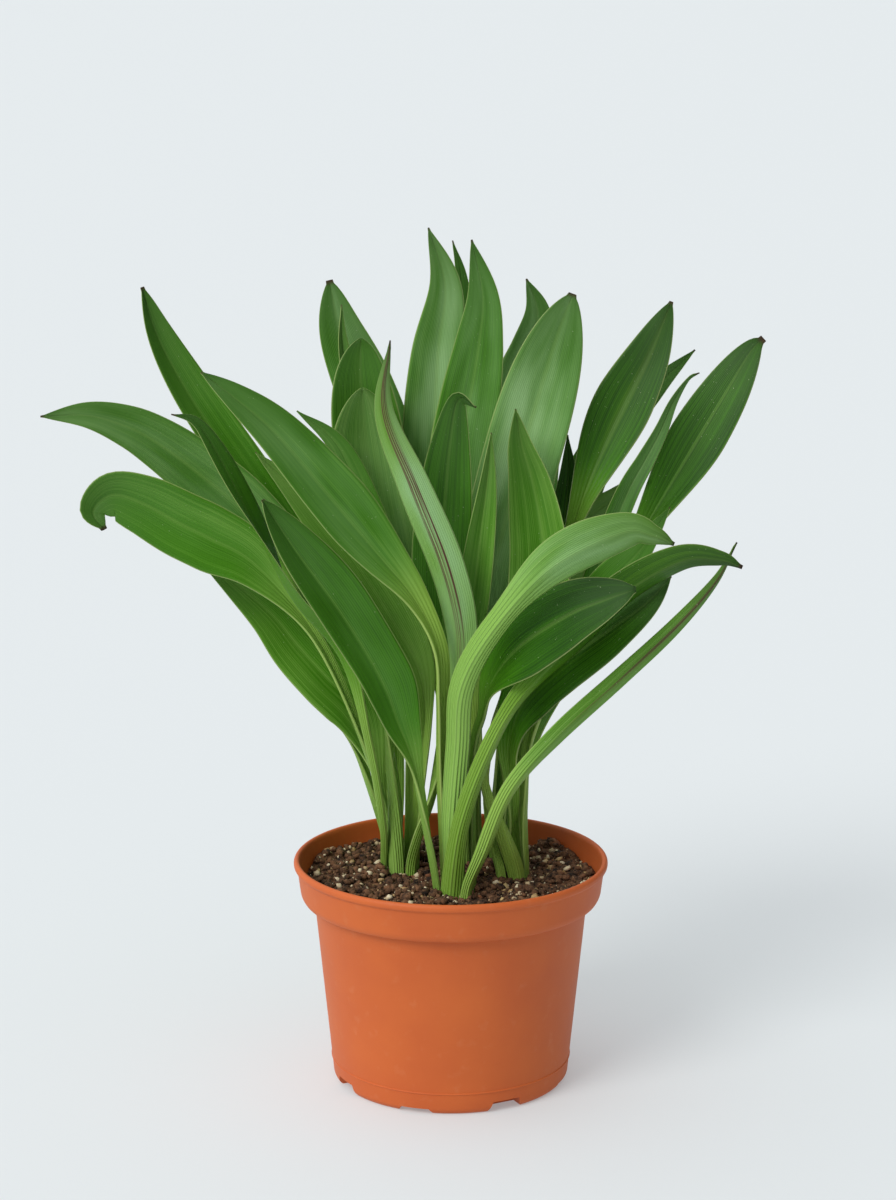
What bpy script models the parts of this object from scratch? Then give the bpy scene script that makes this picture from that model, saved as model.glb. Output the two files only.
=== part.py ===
"""Potted ti plant: a terracotta-coloured nursery pot, its soil, and every leaf a solid of its own.

Frame: metres, +Z up, the origin at the middle of the pot's flat base. -Y is the front, +X the right.
Each leaf is one thin closed skin: a channelled petiole that stands in the soil and a strap-shaped blade.
"""
import math

import bmesh
import bpy
from mathutils import Vector

MM = 0.001
GAP = 0.3                    # air left between two pieces that touch on the real plant

# Pot, in millimetres
POT_HEIGHT = 123.0
RIM_RADIUS = 85.0
COLLAR_RADIUS = 81.0
COLLAR_FOOT = 101.4
SHOULDER_RADIUS = 73.9
BODY_FOOT_RADIUS = 64.0
BASE_RADIUS = 61.5
WALL = 1.6
FLOOR = 1.8
LEDGE_TOP = 8.0              # the raised ring inside, over the foot notches
LEDGE_INNER_RADIUS = 49.0
POT_SEGMENTS = 64
NOTCH_FIRST = 27.5           # degrees from the front towards +X
NOTCH_COUNT = 8
NOTCH_WIDTH = 22.0
NOTCH_INNER_RADIUS = 53.0
NOTCH_TALL = 6.0
NOTCH_LOW = 3.0
DRAIN_RADIUS = 2.6

# Soil, in millimetres
SOIL_TOP = 110.0
HOLE_FLOOR = 98.0
SOIL_LUMP = 1.6
SOIL_LUMPS = [(62.0, 46.0, 5.0, 14.0), (-62.0, 34.0, 3.0, 16.0), (20.0, 60.0, -1.5, 18.0), (-10.0, -55.0, 1.5, 20.0)]

# Shoots: middle of each clump of petioles and the radius of its hole in the soil
CENTRE = (2.0, -20.0, 16.0)
LEFT = (-27.5, 18.0, 13.5)
RIGHT = (32.0, 8.0, 15.0)
BACK_MID = (8.0, 38.0, 12.5)
BACK_LEFT = (-28.0, 46.0, 12.5)
BACK_RIGHT = (32.0, 40.0, 13.0)
SHOOTS = [CENTRE, LEFT, RIGHT, BACK_MID, BACK_LEFT, BACK_RIGHT]

# Leaves, in millimetres
BLADE_THICKNESS = 0.9
PETIOLE_THICKNESS = 2.2
STATIONS = [0.0, 0.05, 0.14, 0.24, 0.35, 0.45, 0.55, 0.64, 0.72, 0.795, 0.86, 0.915, 0.96, 1.0]
STRIPS = 4

# Each row: name, shoot, angle and distance of the foot from the middle of the shoot,
# points up the midrib, width of foot, neck and blade, share of the length that is petiole,
# face of the blade low down, face of the tip, fold of the blade (0 flat to 1 folded), tip roundness
LEAVES = [
    ("leaf_front_left", CENTRE, 205, 11.0,
     [(-14, -25, 151), (-20, -27, 184), (-27, -30, 206), (-33, -33, 225), (-44, -36, 247), (-60, -42, 274),
      (-79, -48, 302), (-96, -50, 328)],
     (6, 8, 34), 0.32, (0.45, -0.75, 0.5), (0.3, -0.8, 0.5), 0.4, 0.5),
    ("leaf_front_left_high", CENTRE, 165, 6.0,
     [(-5.5, -18, 177), (-5.5, -27, 217), (-7, -34, 247), (-19, -39.5, 275), (-38, -46, 301), (-64, -56, 335),
      (-88, -64, 365), (-108, -66, 383), (-125, -62, 395)],
     (6, 12.5, 37), 0.5, (0.4, -0.75, 0.5), (0.3, -0.7, 0.65), 0.2, 0.35),
    ("leaf_front_twisted", CENTRE, 20, 4.5,
     [(4, -18, 182), (5, -22, 221), (5, -27, 255), (-3, -34, 291), (-19, -38, 333), (-34, -36, 372),
      (-31, -30, 407)],
     (6, 8, 20), 0.34, (0.3, 0.9, 0.2), (-0.2, 0.9, 0.1), 0.3, 0.05),
    ("leaf_front_arching", CENTRE, 246, 5.2,
     [(0, -28, 147), (3, -33, 192), (6, -43, 229), (23, -58, 264), (51, -76, 299), (85, -94, 320),
      (100, -99, 319), (110, -101, 315)],
     (7, 14, 32), 0.65, (-0.1, 0.9, 0.3), (-0.3, 0.85, 0.4), 0.2, 0.5),
    ("leaf_right_hooked", CENTRE, 262, 10.6,
     [(5, -35, 150), (17, -38, 187), (33, -38, 218), (56, -38, 244), (87, -43, 277), (117, -47, 296),
      (138, -49, 297), (149, -51, 293)],
     (13, 10, 24), 0.45, (-0.4, 0.8, 0.4), (-0.3, 0.75, 0.55), 0.3, 0.55),
    ("leaf_right_duckbill", CENTRE, 5, 10.0,
     [(12, -19, 183), (17, -22, 208), (21, -28, 227), (35, -45, 250), (60, -62, 271), (79, -71, 281),
      (93, -76, 287)],
     (6, 7, 38), 0.5, (-0.3, -0.85, 0.45), (-0.2, -0.75, 0.6), 0.1, 0.7),
    ("leaf_right_strap", CENTRE, 299, 14.0,
     [(17, -35, 136), (31, -37, 171), (56, -38, 201), (88, -38, 231), (118, -33, 259), (138, -27, 281),
      (149, -20, 300)],
     (7, 10, 13), 0.3, (-0.35, 0.9, 0.35), (-0.45, 0.8, 0.4), 0.25, 0.15),
    ("leaf_centre_rolled", CENTRE, 70, 9.0,
     [(6, -9, 211), (10, -12, 255), (15, -14, 298), (19, -12, 330), (21, -8, 356)],
     (5, 6, 20), 0.45, (0.0, -1.0, 0.1), (0.2, -1.0, 0.1), 0.6, 0.15),

    ("leaf_left_strap", LEFT, 191, 9.4,
     [(-37, 6, 139), (-44, -4, 186), (-57, -9, 235), (-82, -17, 270), (-105, -22, 317), (-122, -22, 350),
      (-132, -22, 364), (-144, -24, 368)],
     (6.5, 8, 27), 0.36, (0.8, 0.45, 0.4), (0.8, -0.5, 0.3), 0.2, 0.05),
    ("leaf_left_long", LEFT, 100, 4.2,
     [(-33, 33, 150), (-55, 43, 210), (-86, 43, 269), (-112, 39, 305), (-137, 32, 329), (-156, 25, 345),
      (-172, 19, 355), (-192, 12, 362), (-216, 8, 362)],
     (5.5, 7, 36), 0.34, (0.3, -0.9, 0.3), (0.1, -0.9, 0.4), 0.15, 0.2),
    ("leaf_left_curled", LEFT, 190, 4.2,
     [(-37, 15, 150), (-57, 8, 211), (-76, 2, 251), (-104, -1, 285), (-127, -4, 299), (-142, -6, 307),
      (-161, -8, 318), (-177, -9, 323), (-187, -12, 315), (-181, -16, 306)],
     (5.5, 7, 36), 0.53, (0.3, -0.95, 0.2), (0.45, -0.65, 0.6), 0.15, 0.7),
    ("leaf_left_low", LEFT, 147, 9.0,
     [(-38, 22, 150), (-43, 22, 177), (-52, 22, 201), (-67, 20, 218), (-82, 21, 235), (-96, 23, 252),
      (-116, 27, 268), (-136, 31, 281)],
     (6, 7, 36), 0.3, (0.3, -0.85, 0.45), (0.3, -0.8, 0.5), 0.2, 0.05),
    ("leaf_left_tall", LEFT, 102, 9.0,
     [(-32, 42, 152), (-46, 55, 206), (-71, 59, 258), (-103, 60, 308), (-132, 59, 352), (-148, 58, 379),
      (-159, 57, 402), (-166, 55, 425)],
     (6, 8, 29), 0.36, (0.4, -0.85, 0.2), (0.5, -0.8, 0.2), 0.5, 0.55),
    ("leaf_left_shaded", LEFT, 15, 9.0,
     [(-18, 17, 140), (-16, 8, 172), (-14, 0, 205), (-18, -7, 232), (-31, -12, 258), (-53, -14, 293),
      (-79, -14, 324), (-102, -10, 346)],
     (6.5, 8, 31), 0.4, (0.3, -0.85, 0.4), (0.3, -0.85, 0.4), 0.2, 0.05),
    ("leaf_left_broad", LEFT, 254, 9.0,
     [(-32, 8, 150), (-34, 8, 200), (-34, 16, 240), (-34, 22, 276), (-41, 23, 315), (-45, 23, 347),
      (-47, 24, 375)],
     (9, 10, 47), 0.42, (0.15, -1.0, 0.1), (0.1, -1.0, 0.15), 0.2, 0.8),
    ("leaf_left_crossing", LEFT, 319, 9.0,
     [(-17, 9, 132), (-9, 8, 158), (-2, 6, 198), (-3, 1, 240), (-5, -3, 288), (-3, -4, 320), (0, -5, 352),
      (4, -6, 373), (13, -13, 370)],
     (9, 9, 32), 0.38, (0.05, -1.0, 0.1), (-0.65, -0.6, -0.4), 0.2, 0.25),
    ("leaf_left_small", LEFT, 60, 9.0,
     [(-22, 24, 150), (-22, 14, 200), (-28, 5, 240), (-35, 3, 275), (-44, 4, 309), (-59, 6, 346),
      (-81, 8, 365)],
     (5.5, 6, 22), 0.45, (0.2, -0.95, 0.2), (0.2, -0.9, 0.2), 0.2, 0.15),

    ("leaf_right_drooping", RIGHT, 210, 6.0,
     [(33, 5, 148), (31, -2, 184), (38, -12, 212), (57, -26, 236), (82, -33, 256), (101, -36, 271),
      (114, -34, 285)],
     (6, 9, 33), 0.36, (-0.3, -0.8, 0.55), (-0.3, -0.8, 0.5), 0.15, 0.3),
    ("leaf_right_tall", RIGHT, 49, 9.0,
     [(36, 18, 150), (44, 17, 197), (57, 19, 244), (63, 28, 286), (71, 34, 313), (82, 41, 339), (94, 48, 363),
      (107, 54, 388), (119, 58, 417)],
     (7, 8, 38), 0.62, (-0.3, -0.95, 0.1), (-0.3, -0.95, 0.2), 0.3, 0.5),
    ("leaf_right_grey", RIGHT, 99, 9.0,
     [(34, 24, 150), (44, 24, 189), (56, 23, 219), (78, 22, 276), (94, 24, 317), (104, 28, 335),
      (112, 31, 350), (119, 34, 366), (127, 36, 378), (133, 38, 381)],
     (6, 7, 15), 0.5, (-0.2, -0.9, 0.3), (0.4, -0.8, 0.2), 0.4, 0.0),
    ("leaf_right_pale", RIGHT, 358, 9.0,
     [(40, 8, 150), (44, 5, 195), (65, 2, 238), (82, -2, 271), (100, -4, 293), (115, -6, 316)],
     (6, 8, 26), 0.45, (-0.3, -0.85, 0.4), (-0.3, -0.85, 0.4), 0.2, 0.15),
    ("leaf_right_blunt", RIGHT, 293, 9.8,
     [(28, -4.5, 139), (17, -4, 172), (14, 5, 215), (18, 14, 255), (27, 21, 295), (36, 25, 332), (46, 31, 367),
      (57, 38, 401), (65, 42, 423)],
     (10.5, 10, 42), 0.34, (-0.05, -1.0, 0.1), (0.1, -1.0, 0.2), 0.2, 0.75),
    ("leaf_right_folded", RIGHT, 245, 12.4,
     [(22, 2, 132), (19, 6, 156), (22, 8, 190), (35, 1, 227), (46, -6, 261), (48, -4, 287), (46, 0, 308),
      (42, 4, 329), (37, 6, 347), (34, 8, 366)],
     (6, 6, 38), 0.45, (-0.25, -0.95, 0.05), (-0.2, -0.95, 0.1), 0.6, 0.2),

    ("leaf_mid_tallest", BACK_MID, 205, 8.5,
     [(0, 38, 150), (-4, 43, 199), (-10, 47, 260), (-9, 49, 298), (-9, 50, 343), (-7, 51, 389),
      (-3, 52, 426), (-12, 53, 457)],
     (6, 8, 36), 0.36, (0.0, -1.0, 0.1), (0.0, -1.0, 0.1), 0.25, 0.2),
    ("leaf_mid_tall", BACK_MID, 270, 8.5,
     [(7, 30, 150), (6, 31, 192), (4, 31, 247), (3, 31, 302), (6, 31, 340), (10, 32, 366), (15, 33, 397),
      (17, 35, 423), (11, 38, 452)],
     (6, 8, 36), 0.36, (0.0, -1.0, 0.1), (0.0, -1.0, 0.1), 0.2, 0.2),
    ("leaf_mid_thin", BACK_MID, 148, 8.5,
     [(2, 49, 150), (0, 63, 222), (1, 72, 306), (5, 75, 378), (6, 76, 424), (1, 77, 448)],
     (6, 8, 24), 0.4, (0.0, -1.0, 0.1), (0.0, -1.0, 0.1), 0.3, 0.05),
    ("leaf_mid_right", BACK_MID, 15, 8.5,
     [(15, 43, 150), (16, 50, 244), (26, 56, 306), (38, 62, 365), (45, 66, 392), (47, 68, 411), (41, 70, 428)],
     (6, 8, 42), 0.38, (0.0, -1.0, 0.1), (0.0, -1.0, 0.1), 0.2, 0.2),

    ("leaf_back_left_browned", BACK_LEFT, 50, 9.0,
     [(-20, 56, 150), (-18, 60, 207), (-24, 64, 275), (-36, 67, 335), (-47, 69, 368), (-60, 71, 400),
      (-66, 72, 427)],
     (6, 8, 34), 0.36, (0.1, -1.0, 0.1), (0.1, -1.0, 0.1), 0.15, 0.7),
    ("leaf_back_left_folded", BACK_LEFT, 355, 9.0,
     [(-19, 47, 150), (-23, 51, 240), (-38, 53, 304), (-50, 56, 353), (-58, 58, 391), (-59, 60, 415)],
     (6, 7, 20), 0.4, (0.3, -0.95, 0.1), (0.3, -0.95, 0.1), 0.6, 0.05),
    ("leaf_back_left_round", BACK_LEFT, 300, 9.0,
     [(-21, 38, 150), (-24, 36, 238), (-34, 34, 295), (-43, 35, 338), (-48, 38, 374), (-48, 42, 399)],
     (6, 8, 40), 0.38, (0.1, -1.0, 0.1), (0.1, -1.0, 0.1), 0.3, 0.9),
    ("leaf_back_left_low", BACK_LEFT, 215, 9.0,
     [(-44, 40, 148), (-62, 54, 194), (-86, 70, 234), (-106, 83, 258), (-122, 92, 267)],
     (6, 8, 30), 0.36, (0.5, -0.5, 0.8), (0.4, -0.3, 0.9), 0.2, 0.05),
    ("leaf_back_left_arching", BACK_LEFT, 160, 9.0,
     [(-40, 58, 150), (-48, 82, 208), (-60, 106, 262), (-70, 128, 300), (-80, 148, 316)],
     (6, 8, 32), 0.36, (0.3, -0.6, 0.7), (0.3, -0.4, 0.9), 0.2, 0.1),
    ("leaf_back_left_upright", BACK_LEFT, 105, 9.0,
     [(-30, 62, 160), (-34, 84, 230), (-38, 108, 290), (-39, 130, 330), (-36, 148, 345)],
     (6, 8, 33), 0.36, (0.2, -0.9, 0.3), (0.1, -0.6, 0.8), 0.2, 0.1),
    ("leaf_back_mid_arching", BACK_MID, 80, 8.5,
     [(12, 58, 160), (7, 82, 246), (3, 106, 315), (0, 130, 350), (-4, 152, 350)],
     (6, 8, 33), 0.36, (0.0, -0.9, 0.4), (0.0, -0.3, 1.0), 0.2, 0.1),

    ("leaf_back_right_far", BACK_RIGHT, 345, 9.0,
     [(38, 40, 150), (44, 42, 187), (57, 42, 214), (85, 44, 256), (105, 47, 294), (126, 53, 329),
      (148, 60, 365), (163, 65, 389), (170, 66, 396)],
     (6, 8, 33), 0.6, (-0.3, -0.9, 0.3), (-0.3, -0.9, 0.3), 0.2, 0.75),
    ("leaf_back_right_high", BACK_RIGHT, 30, 9.0,
     [(38, 49, 150), (45, 53, 194), (57, 59, 235), (66, 65, 290), (81, 71, 331), (112, 76, 367), (134, 80, 388)],
     (6, 8, 25), 0.42, (-0.3, -0.9, 0.2), (-0.3, -0.9, 0.3), 0.25, 0.2),
    ("leaf_back_right_dark", BACK_RIGHT, 285, 9.0,
     [(36, 30, 150), (43, 31, 189), (52, 34, 220), (58, 42, 250), (72, 46, 294), (90, 47, 312), (106, 46, 326)],
     (6, 8, 27), 0.42, (-0.3, -0.9, 0.2), (-0.3, -0.9, 0.2), 0.25, 0.05),
    ("leaf_back_right_narrow", BACK_RIGHT, 180, 9.0,
     [(25, 42, 150), (32, 47, 200), (44, 52, 236), (58, 57, 270), (64, 62, 313), (64, 66, 343)],
     (6, 7, 23), 0.4, (-0.1, -1.0, 0.1), (-0.1, -1.0, 0.1), 0.25, 0.1),
    ("leaf_back_right_upright", BACK_RIGHT, 128, 9.0,
     [(29, 56, 160), (39, 74, 230), (46, 98, 290), (56, 120, 322), (63, 138, 326)],
     (6, 8, 32), 0.36, (-0.2, -0.9, 0.3), (-0.1, -0.4, 0.9), 0.2, 0.1),
    ("leaf_back_right_arching", BACK_RIGHT, 78, 9.0,
     [(40, 58, 150), (56, 78, 198), (77, 100, 236), (95, 118, 254), (110, 132, 252)],
     (6, 8, 30), 0.36, (-0.4, -0.5, 0.8), (-0.3, -0.2, 1.0), 0.2, 0.05),
]


def clear_scene():
    for old in list(bpy.data.objects):
        bpy.data.objects.remove(old, do_unlink=True)


def material(name, colour, roughness):
    mat = bpy.data.materials.new(name)
    mat.use_nodes = True
    shader = mat.node_tree.nodes["Principled BSDF"]
    shader.inputs["Base Color"].default_value = (*colour, 1.0)
    shader.inputs["Roughness"].default_value = roughness
    return mat


def new_object(name, bm, mat, smooth=True):
    bmesh.ops.recalc_face_normals(bm, faces=bm.faces)
    mesh = bpy.data.meshes.new(name)
    bm.to_mesh(mesh)
    bm.free()
    for face in mesh.polygons:
        face.use_smooth = smooth
    obj = bpy.data.objects.new(name, mesh)
    bpy.context.scene.collection.objects.link(obj)
    obj.data.materials.append(mat)
    return obj


def lathe(name, profile, segments, mat):
    """Turns a closed profile of (radius, height) in millimetres about the upright axis."""
    bm = bmesh.new()
    rings = []
    for radius, height in profile:
        if radius < 1e-6:
            rings.append([bm.verts.new((0.0, 0.0, height * MM))])
            continue
        ring = []
        for i in range(segments):
            angle = 2.0 * math.pi * i / segments
            ring.append(bm.verts.new((radius * MM * math.cos(angle), radius * MM * math.sin(angle), height * MM)))
        rings.append(ring)
    for low, high in zip(rings, rings[1:]):
        for i in range(segments):
            j = (i + 1) % segments
            corners = [low[i % len(low)], low[j % len(low)], high[j % len(high)], high[i % len(high)]]
            kept = []
            for corner in corners:
                if corner not in kept:
                    kept.append(corner)
            if len(kept) > 2:
                bm.faces.new(kept)
    return new_object(name, bm, mat)


def cut(target, cutters):
    """Takes the cutters away from the target and drops them."""
    for cutter in cutters:
        cutter.hide_render = True
        cutter.display_type = "WIRE"
        mod = target.modifiers.new("cut", "BOOLEAN")
        mod.operation = "DIFFERENCE"
        mod.solver = "EXACT"
        mod.object = cutter
    graph = bpy.context.evaluated_depsgraph_get()
    mesh = bpy.data.meshes.new_from_object(target.evaluated_get(graph))
    target.modifiers.clear()
    target.data = mesh
    for cutter in cutters:
        bpy.data.objects.remove(cutter, do_unlink=True)


def pot_profile():
    """Outline of the pot's wall, from the middle of the base round the outside and back inside."""
    top = POT_HEIGHT
    outside = [(0.0, 0.0), (BASE_RADIUS, 0.0), (63.1, 0.7), (BODY_FOOT_RADIUS, 2.4),
               (SHOULDER_RADIUS, COLLAR_FOOT - 0.6), (COLLAR_RADIUS - 1.8, COLLAR_FOOT - 0.4),
               (COLLAR_RADIUS - 0.4, COLLAR_FOOT + 0.6), (COLLAR_RADIUS, COLLAR_FOOT + 2.2),
               (83.0, top - 5.0), (84.4, top - 4.2), (RIM_RADIUS, top - 2.6), (84.6, top - 0.9), (83.4, top)]
    inside = [(82.2, top - 0.4), (81.6, top - 1.6), (81.2, top - 4.0), (COLLAR_RADIUS - WALL, COLLAR_FOOT + 3.0),
              (SHOULDER_RADIUS - WALL + 2.6, COLLAR_FOOT + 0.8), (SHOULDER_RADIUS - WALL, COLLAR_FOOT - 2.2),
              (60.9, LEDGE_TOP), (LEDGE_INNER_RADIUS, LEDGE_TOP), (LEDGE_INNER_RADIUS - 3.0, FLOOR), (0.0, FLOOR)]
    return outside + inside


def notch_cutter(index):
    """One foot notch: a flat-topped block with leaning sides, pushed in from outside under the wall."""
    tall = NOTCH_TALL if index % 2 == 0 else NOTCH_LOW
    turn = math.radians(NOTCH_FIRST + index * 360.0 / NOTCH_COUNT)
    along = Vector((math.sin(turn), -math.cos(turn), 0.0))
    across = Vector((math.cos(turn), math.sin(turn), 0.0))
    half = NOTCH_WIDTH / 2.0
    section = [(-half, -2.0), (half, -2.0), (half, 0.0), (half - 1.6, tall * 0.75), (half - 4.0, tall),
               (-half + 4.0, tall), (-half + 1.6, tall * 0.75), (-half, 0.0)]
    bm = bmesh.new()
    near = [bm.verts.new((along * 70.0 + across * a + Vector((0, 0, h))) * MM) for a, h in section]
    far = [bm.verts.new((along * NOTCH_INNER_RADIUS + across * a + Vector((0, 0, h))) * MM) for a, h in section]
    bm.faces.new(near)
    bm.faces.new(far)
    for i in range(len(section)):
        j = (i + 1) % len(section)
        bm.faces.new([near[i], near[j], far[j], far[i]])
    return new_object("notch_cutter", bm, MATERIALS["terracotta_plastic"])


def drain_cutter(index):
    """One drain hole, straight up from a notch into the soil."""
    turn = math.radians(NOTCH_FIRST + index * 360.0 / NOTCH_COUNT)
    bm = bmesh.new()
    bmesh.ops.create_cone(bm, cap_ends=True, segments=12, radius1=DRAIN_RADIUS * MM, radius2=DRAIN_RADIUS * MM,
                          depth=(LEDGE_TOP + 4.0) * MM)
    middle = Vector((math.sin(turn), -math.cos(turn), 0.0)) * 57.0 * MM
    middle.z = (LEDGE_TOP + 1.0) / 2.0 * MM
    bmesh.ops.translate(bm, verts=bm.verts, vec=middle)
    return new_object("drain_cutter", bm, MATERIALS["terracotta_plastic"])


def build_pot():
    pot = lathe("pot", pot_profile(), POT_SEGMENTS, MATERIALS["terracotta_plastic"])
    cut(pot, [notch_cutter(i) for i in range(NOTCH_COUNT)])
    cut(pot, [drain_cutter(i) for i in range(NOTCH_COUNT)])
    return pot


def soil_height(x, y):
    """Height of the soil's lumpy top, flat and even round each clump of petioles."""
    lump = SOIL_LUMP * math.sin(x / 9.0 + 0.6) * math.cos(y / 11.0 - 0.4)
    lump += 0.7 * math.sin(x / 4.3 - y / 5.1)
    for cx, cy, rise, spread in SOIL_LUMPS:
        lump += rise * math.exp(-((x - cx) ** 2 + (y - cy) ** 2) / (spread * spread))
    for cx, cy, radius in SHOOTS:
        away = math.hypot(x - cx, y - cy)
        lump *= min(1.0, max(0.0, (away - radius) / 8.0))
    return SOIL_TOP + lump


def build_soil():
    """Body of soil inside the pot, a gap clear of its wall, with one plain hole for each clump."""
    segments = 40
    radii = [72.0, 60.0, 48.0, 36.0, 24.0, 12.0]
    edge = 79.95 - GAP
    side = [(0.0, FLOOR + GAP), (LEDGE_INNER_RADIUS - 3.0 - GAP, FLOOR + GAP),
            (LEDGE_INNER_RADIUS - GAP, LEDGE_TOP + GAP), (60.9 - GAP, LEDGE_TOP + GAP),
            (SHOULDER_RADIUS - WALL - GAP, COLLAR_FOOT - 2.0), (SHOULDER_RADIUS - WALL + 2.3, COLLAR_FOOT + 1.2),
            (COLLAR_RADIUS - WALL - GAP, COLLAR_FOOT + 3.4)]
    bm = bmesh.new()
    rings = []
    for radius, height in side:
        rings.append([(radius, height)] * segments)
    for radius in [edge] + radii:
        rings.append([(radius, None)] * segments)
    rows = []
    for ring in rings:
        if ring[0][0] < 1e-6:
            rows.append([bm.verts.new((0, 0, ring[0][1] * MM))])
            continue
        row = []
        for i, (radius, height) in enumerate(ring):
            angle = 2.0 * math.pi * i / segments
            x, y = radius * math.cos(angle), radius * math.sin(angle)
            z = soil_height(x, y) if height is None else height
            row.append(bm.verts.new((x * MM, y * MM, z * MM)))
        rows.append(row)
    rows.append([bm.verts.new((0, 0, soil_height(0, 0) * MM))])
    for low, high in zip(rows, rows[1:]):
        for i in range(segments):
            j = (i + 1) % segments
            if len(low) == 1:
                bm.faces.new([low[0], high[j], high[i]])
            elif len(high) == 1:
                bm.faces.new([low[i], low[j], high[0]])
            else:
                bm.faces.new([low[i], low[j], high[j]])
                bm.faces.new([low[i], high[j], high[i]])
    soil = new_object("soil", bm, MATERIALS["potting_soil"])
    cut(soil, [hole_cutter(shoot) for shoot in SHOOTS])
    return soil


def hole_cutter(shoot):
    x, y, radius = shoot
    bm = bmesh.new()
    bmesh.ops.create_cone(bm, cap_ends=True, segments=20, radius1=radius * MM, radius2=radius * MM, depth=30.0 * MM)
    bmesh.ops.translate(bm, verts=bm.verts, vec=Vector((x, y, HOLE_FLOOR + 15.0)) * MM)
    return new_object("hole_cutter", bm, MATERIALS["potting_soil"])


def curve_through(points, stations):
    """Places and directions at the given shares of the length of a smooth curve through the points."""
    ends = [points[0] * 2 - points[1]] + points + [points[-1] * 2 - points[-2]]
    dense = []
    for i in range(1, len(ends) - 2):
        a, b, c, d = ends[i - 1], ends[i], ends[i + 1], ends[i + 2]
        for k in range(24):
            t = k / 24.0
            dense.append(0.5 * ((2 * b) + (c - a) * t + (2 * a - 5 * b + 4 * c - d) * t * t
                                + (3 * b - a - 3 * c + d) * t * t * t))
    dense.append(points[-1])
    lengths = [0.0]
    for a, b in zip(dense, dense[1:]):
        lengths.append(lengths[-1] + (b - a).length)
    places = []
    for station in stations:
        want = lengths[-1] * station
        i = max(1, next(n for n, far in enumerate(lengths) if far >= want - 1e-9))
        share = (want - lengths[i - 1]) / max(1e-9, lengths[i] - lengths[i - 1])
        places.append(dense[i - 1].lerp(dense[i], min(1.0, max(0.0, share))))
    ways = []
    for before, after in zip(places[:1] + places[:-1], places[1:] + places[-1:]):
        ways.append((after - before).normalized())
    return places, ways


def smooth_step(low, high, value):
    t = min(1.0, max(0.0, (value - low) / (high - low)))
    return t * t * (3.0 - 2.0 * t)


def half_width(s, widths, share, roundness):
    """Half the leaf's width at a share s of its length: petiole, swelling blade, tapering tip."""
    foot, neck, blade = widths
    stalk = foot + (neck - foot) * smooth_step(0.04, 0.2, s)
    swell = smooth_step(share - 0.05, share + 0.22, s)
    wide = (stalk + (blade - neck) * swell) / 2.0
    start = 0.60 + 0.18 * roundness
    past = min(1.0, max(0.0, (s - start) / (1.0 - start)))
    taper = (1.0 - past ** (2.0 + roundness)) ** (1.0 - 0.4 * roundness)
    return max(0.9 + 3.0 * roundness * roundness, wide * taper)


def facing_turns(places, ways, stations, foot_face, blade_face, tip_face, share):
    """Way the upper face looks at each station: carried up the curve from the foot, then turned evenly."""
    carried = [foot_face]
    for way in ways[1:]:
        flat = carried[-1] - way * carried[-1].dot(way)
        carried.append(flat.normalized())

    def turn_to(face, k):
        flat = (face - ways[k] * face.dot(ways[k])).normalized()
        return math.atan2(ways[k].dot(carried[k].cross(flat)), carried[k].dot(flat))

    middle = min(range(len(stations)), key=lambda k: abs(stations[k] - share - 0.15))
    blade_turn = turn_to(blade_face, middle)
    tip_turn = turn_to(tip_face, len(stations) - 1)
    tip_turn += 2.0 * math.pi * round((blade_turn - tip_turn) / (2.0 * math.pi))
    faces = []
    for s, way, base in zip(stations, ways, carried):
        angle = blade_turn * smooth_step(0.02, share + 0.12, s)
        angle += (tip_turn - blade_turn) * smooth_step(share + 0.15, 1.0, s)
        faces.append(base * math.cos(angle) + way.cross(base) * math.sin(angle))
    return faces


def leaf_rows(row, stations, strips):
    """Places of the upper and lower skins of one leaf: lists of rows across the leaf."""
    name, shoot, angle, away, points, widths, share, low_face, tip_face, fold, roundness = row
    turn = math.radians(angle)
    out = Vector((math.cos(turn), math.sin(turn), 0.0))
    foot = Vector((shoot[0], shoot[1], HOLE_FLOOR + GAP)) + out * away
    midrib = [foot, foot + Vector((0, 0, 16.0))] + [Vector(p) for p in points]
    places, ways = curve_through(midrib, stations)
    ways[0] = Vector((0, 0, 1))
    faces = facing_turns(places, ways, stations, -out, Vector(low_face), Vector(tip_face), share)
    upper, lower = [], []
    for s, place, way, face in zip(stations, places, ways, faces):
        side = way.cross(face).normalized()
        wide = half_width(s, widths, share, roundness)
        grown = smooth_step(share - 0.08, share + 0.2, s)
        thick = PETIOLE_THICKNESS + (BLADE_THICKNESS - PETIOLE_THICKNESS) * grown
        bend = 0.55 + (fold - 0.55) * grown
        top, under = [], []
        for j in range(strips + 1):
            a = -1.0 + 2.0 * j / strips
            lean = math.radians(62.0) * bend
            across = wide * a * math.cos(lean * 0.8)
            rise = wide * abs(a) ** 1.25 * math.sin(lean)
            mid = place + side * across + face * (rise - wide * 0.35 * math.sin(lean))
            rim = 1.0 - (0.35 if abs(a) > 0.99 and grown < 0.9 else 0.0)
            top.append(mid + face * thick * 0.5 * rim)
            under.append(mid - face * thick * 0.5 * rim)
        upper.append(top)
        lower.append(under)
    return upper, lower


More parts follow.
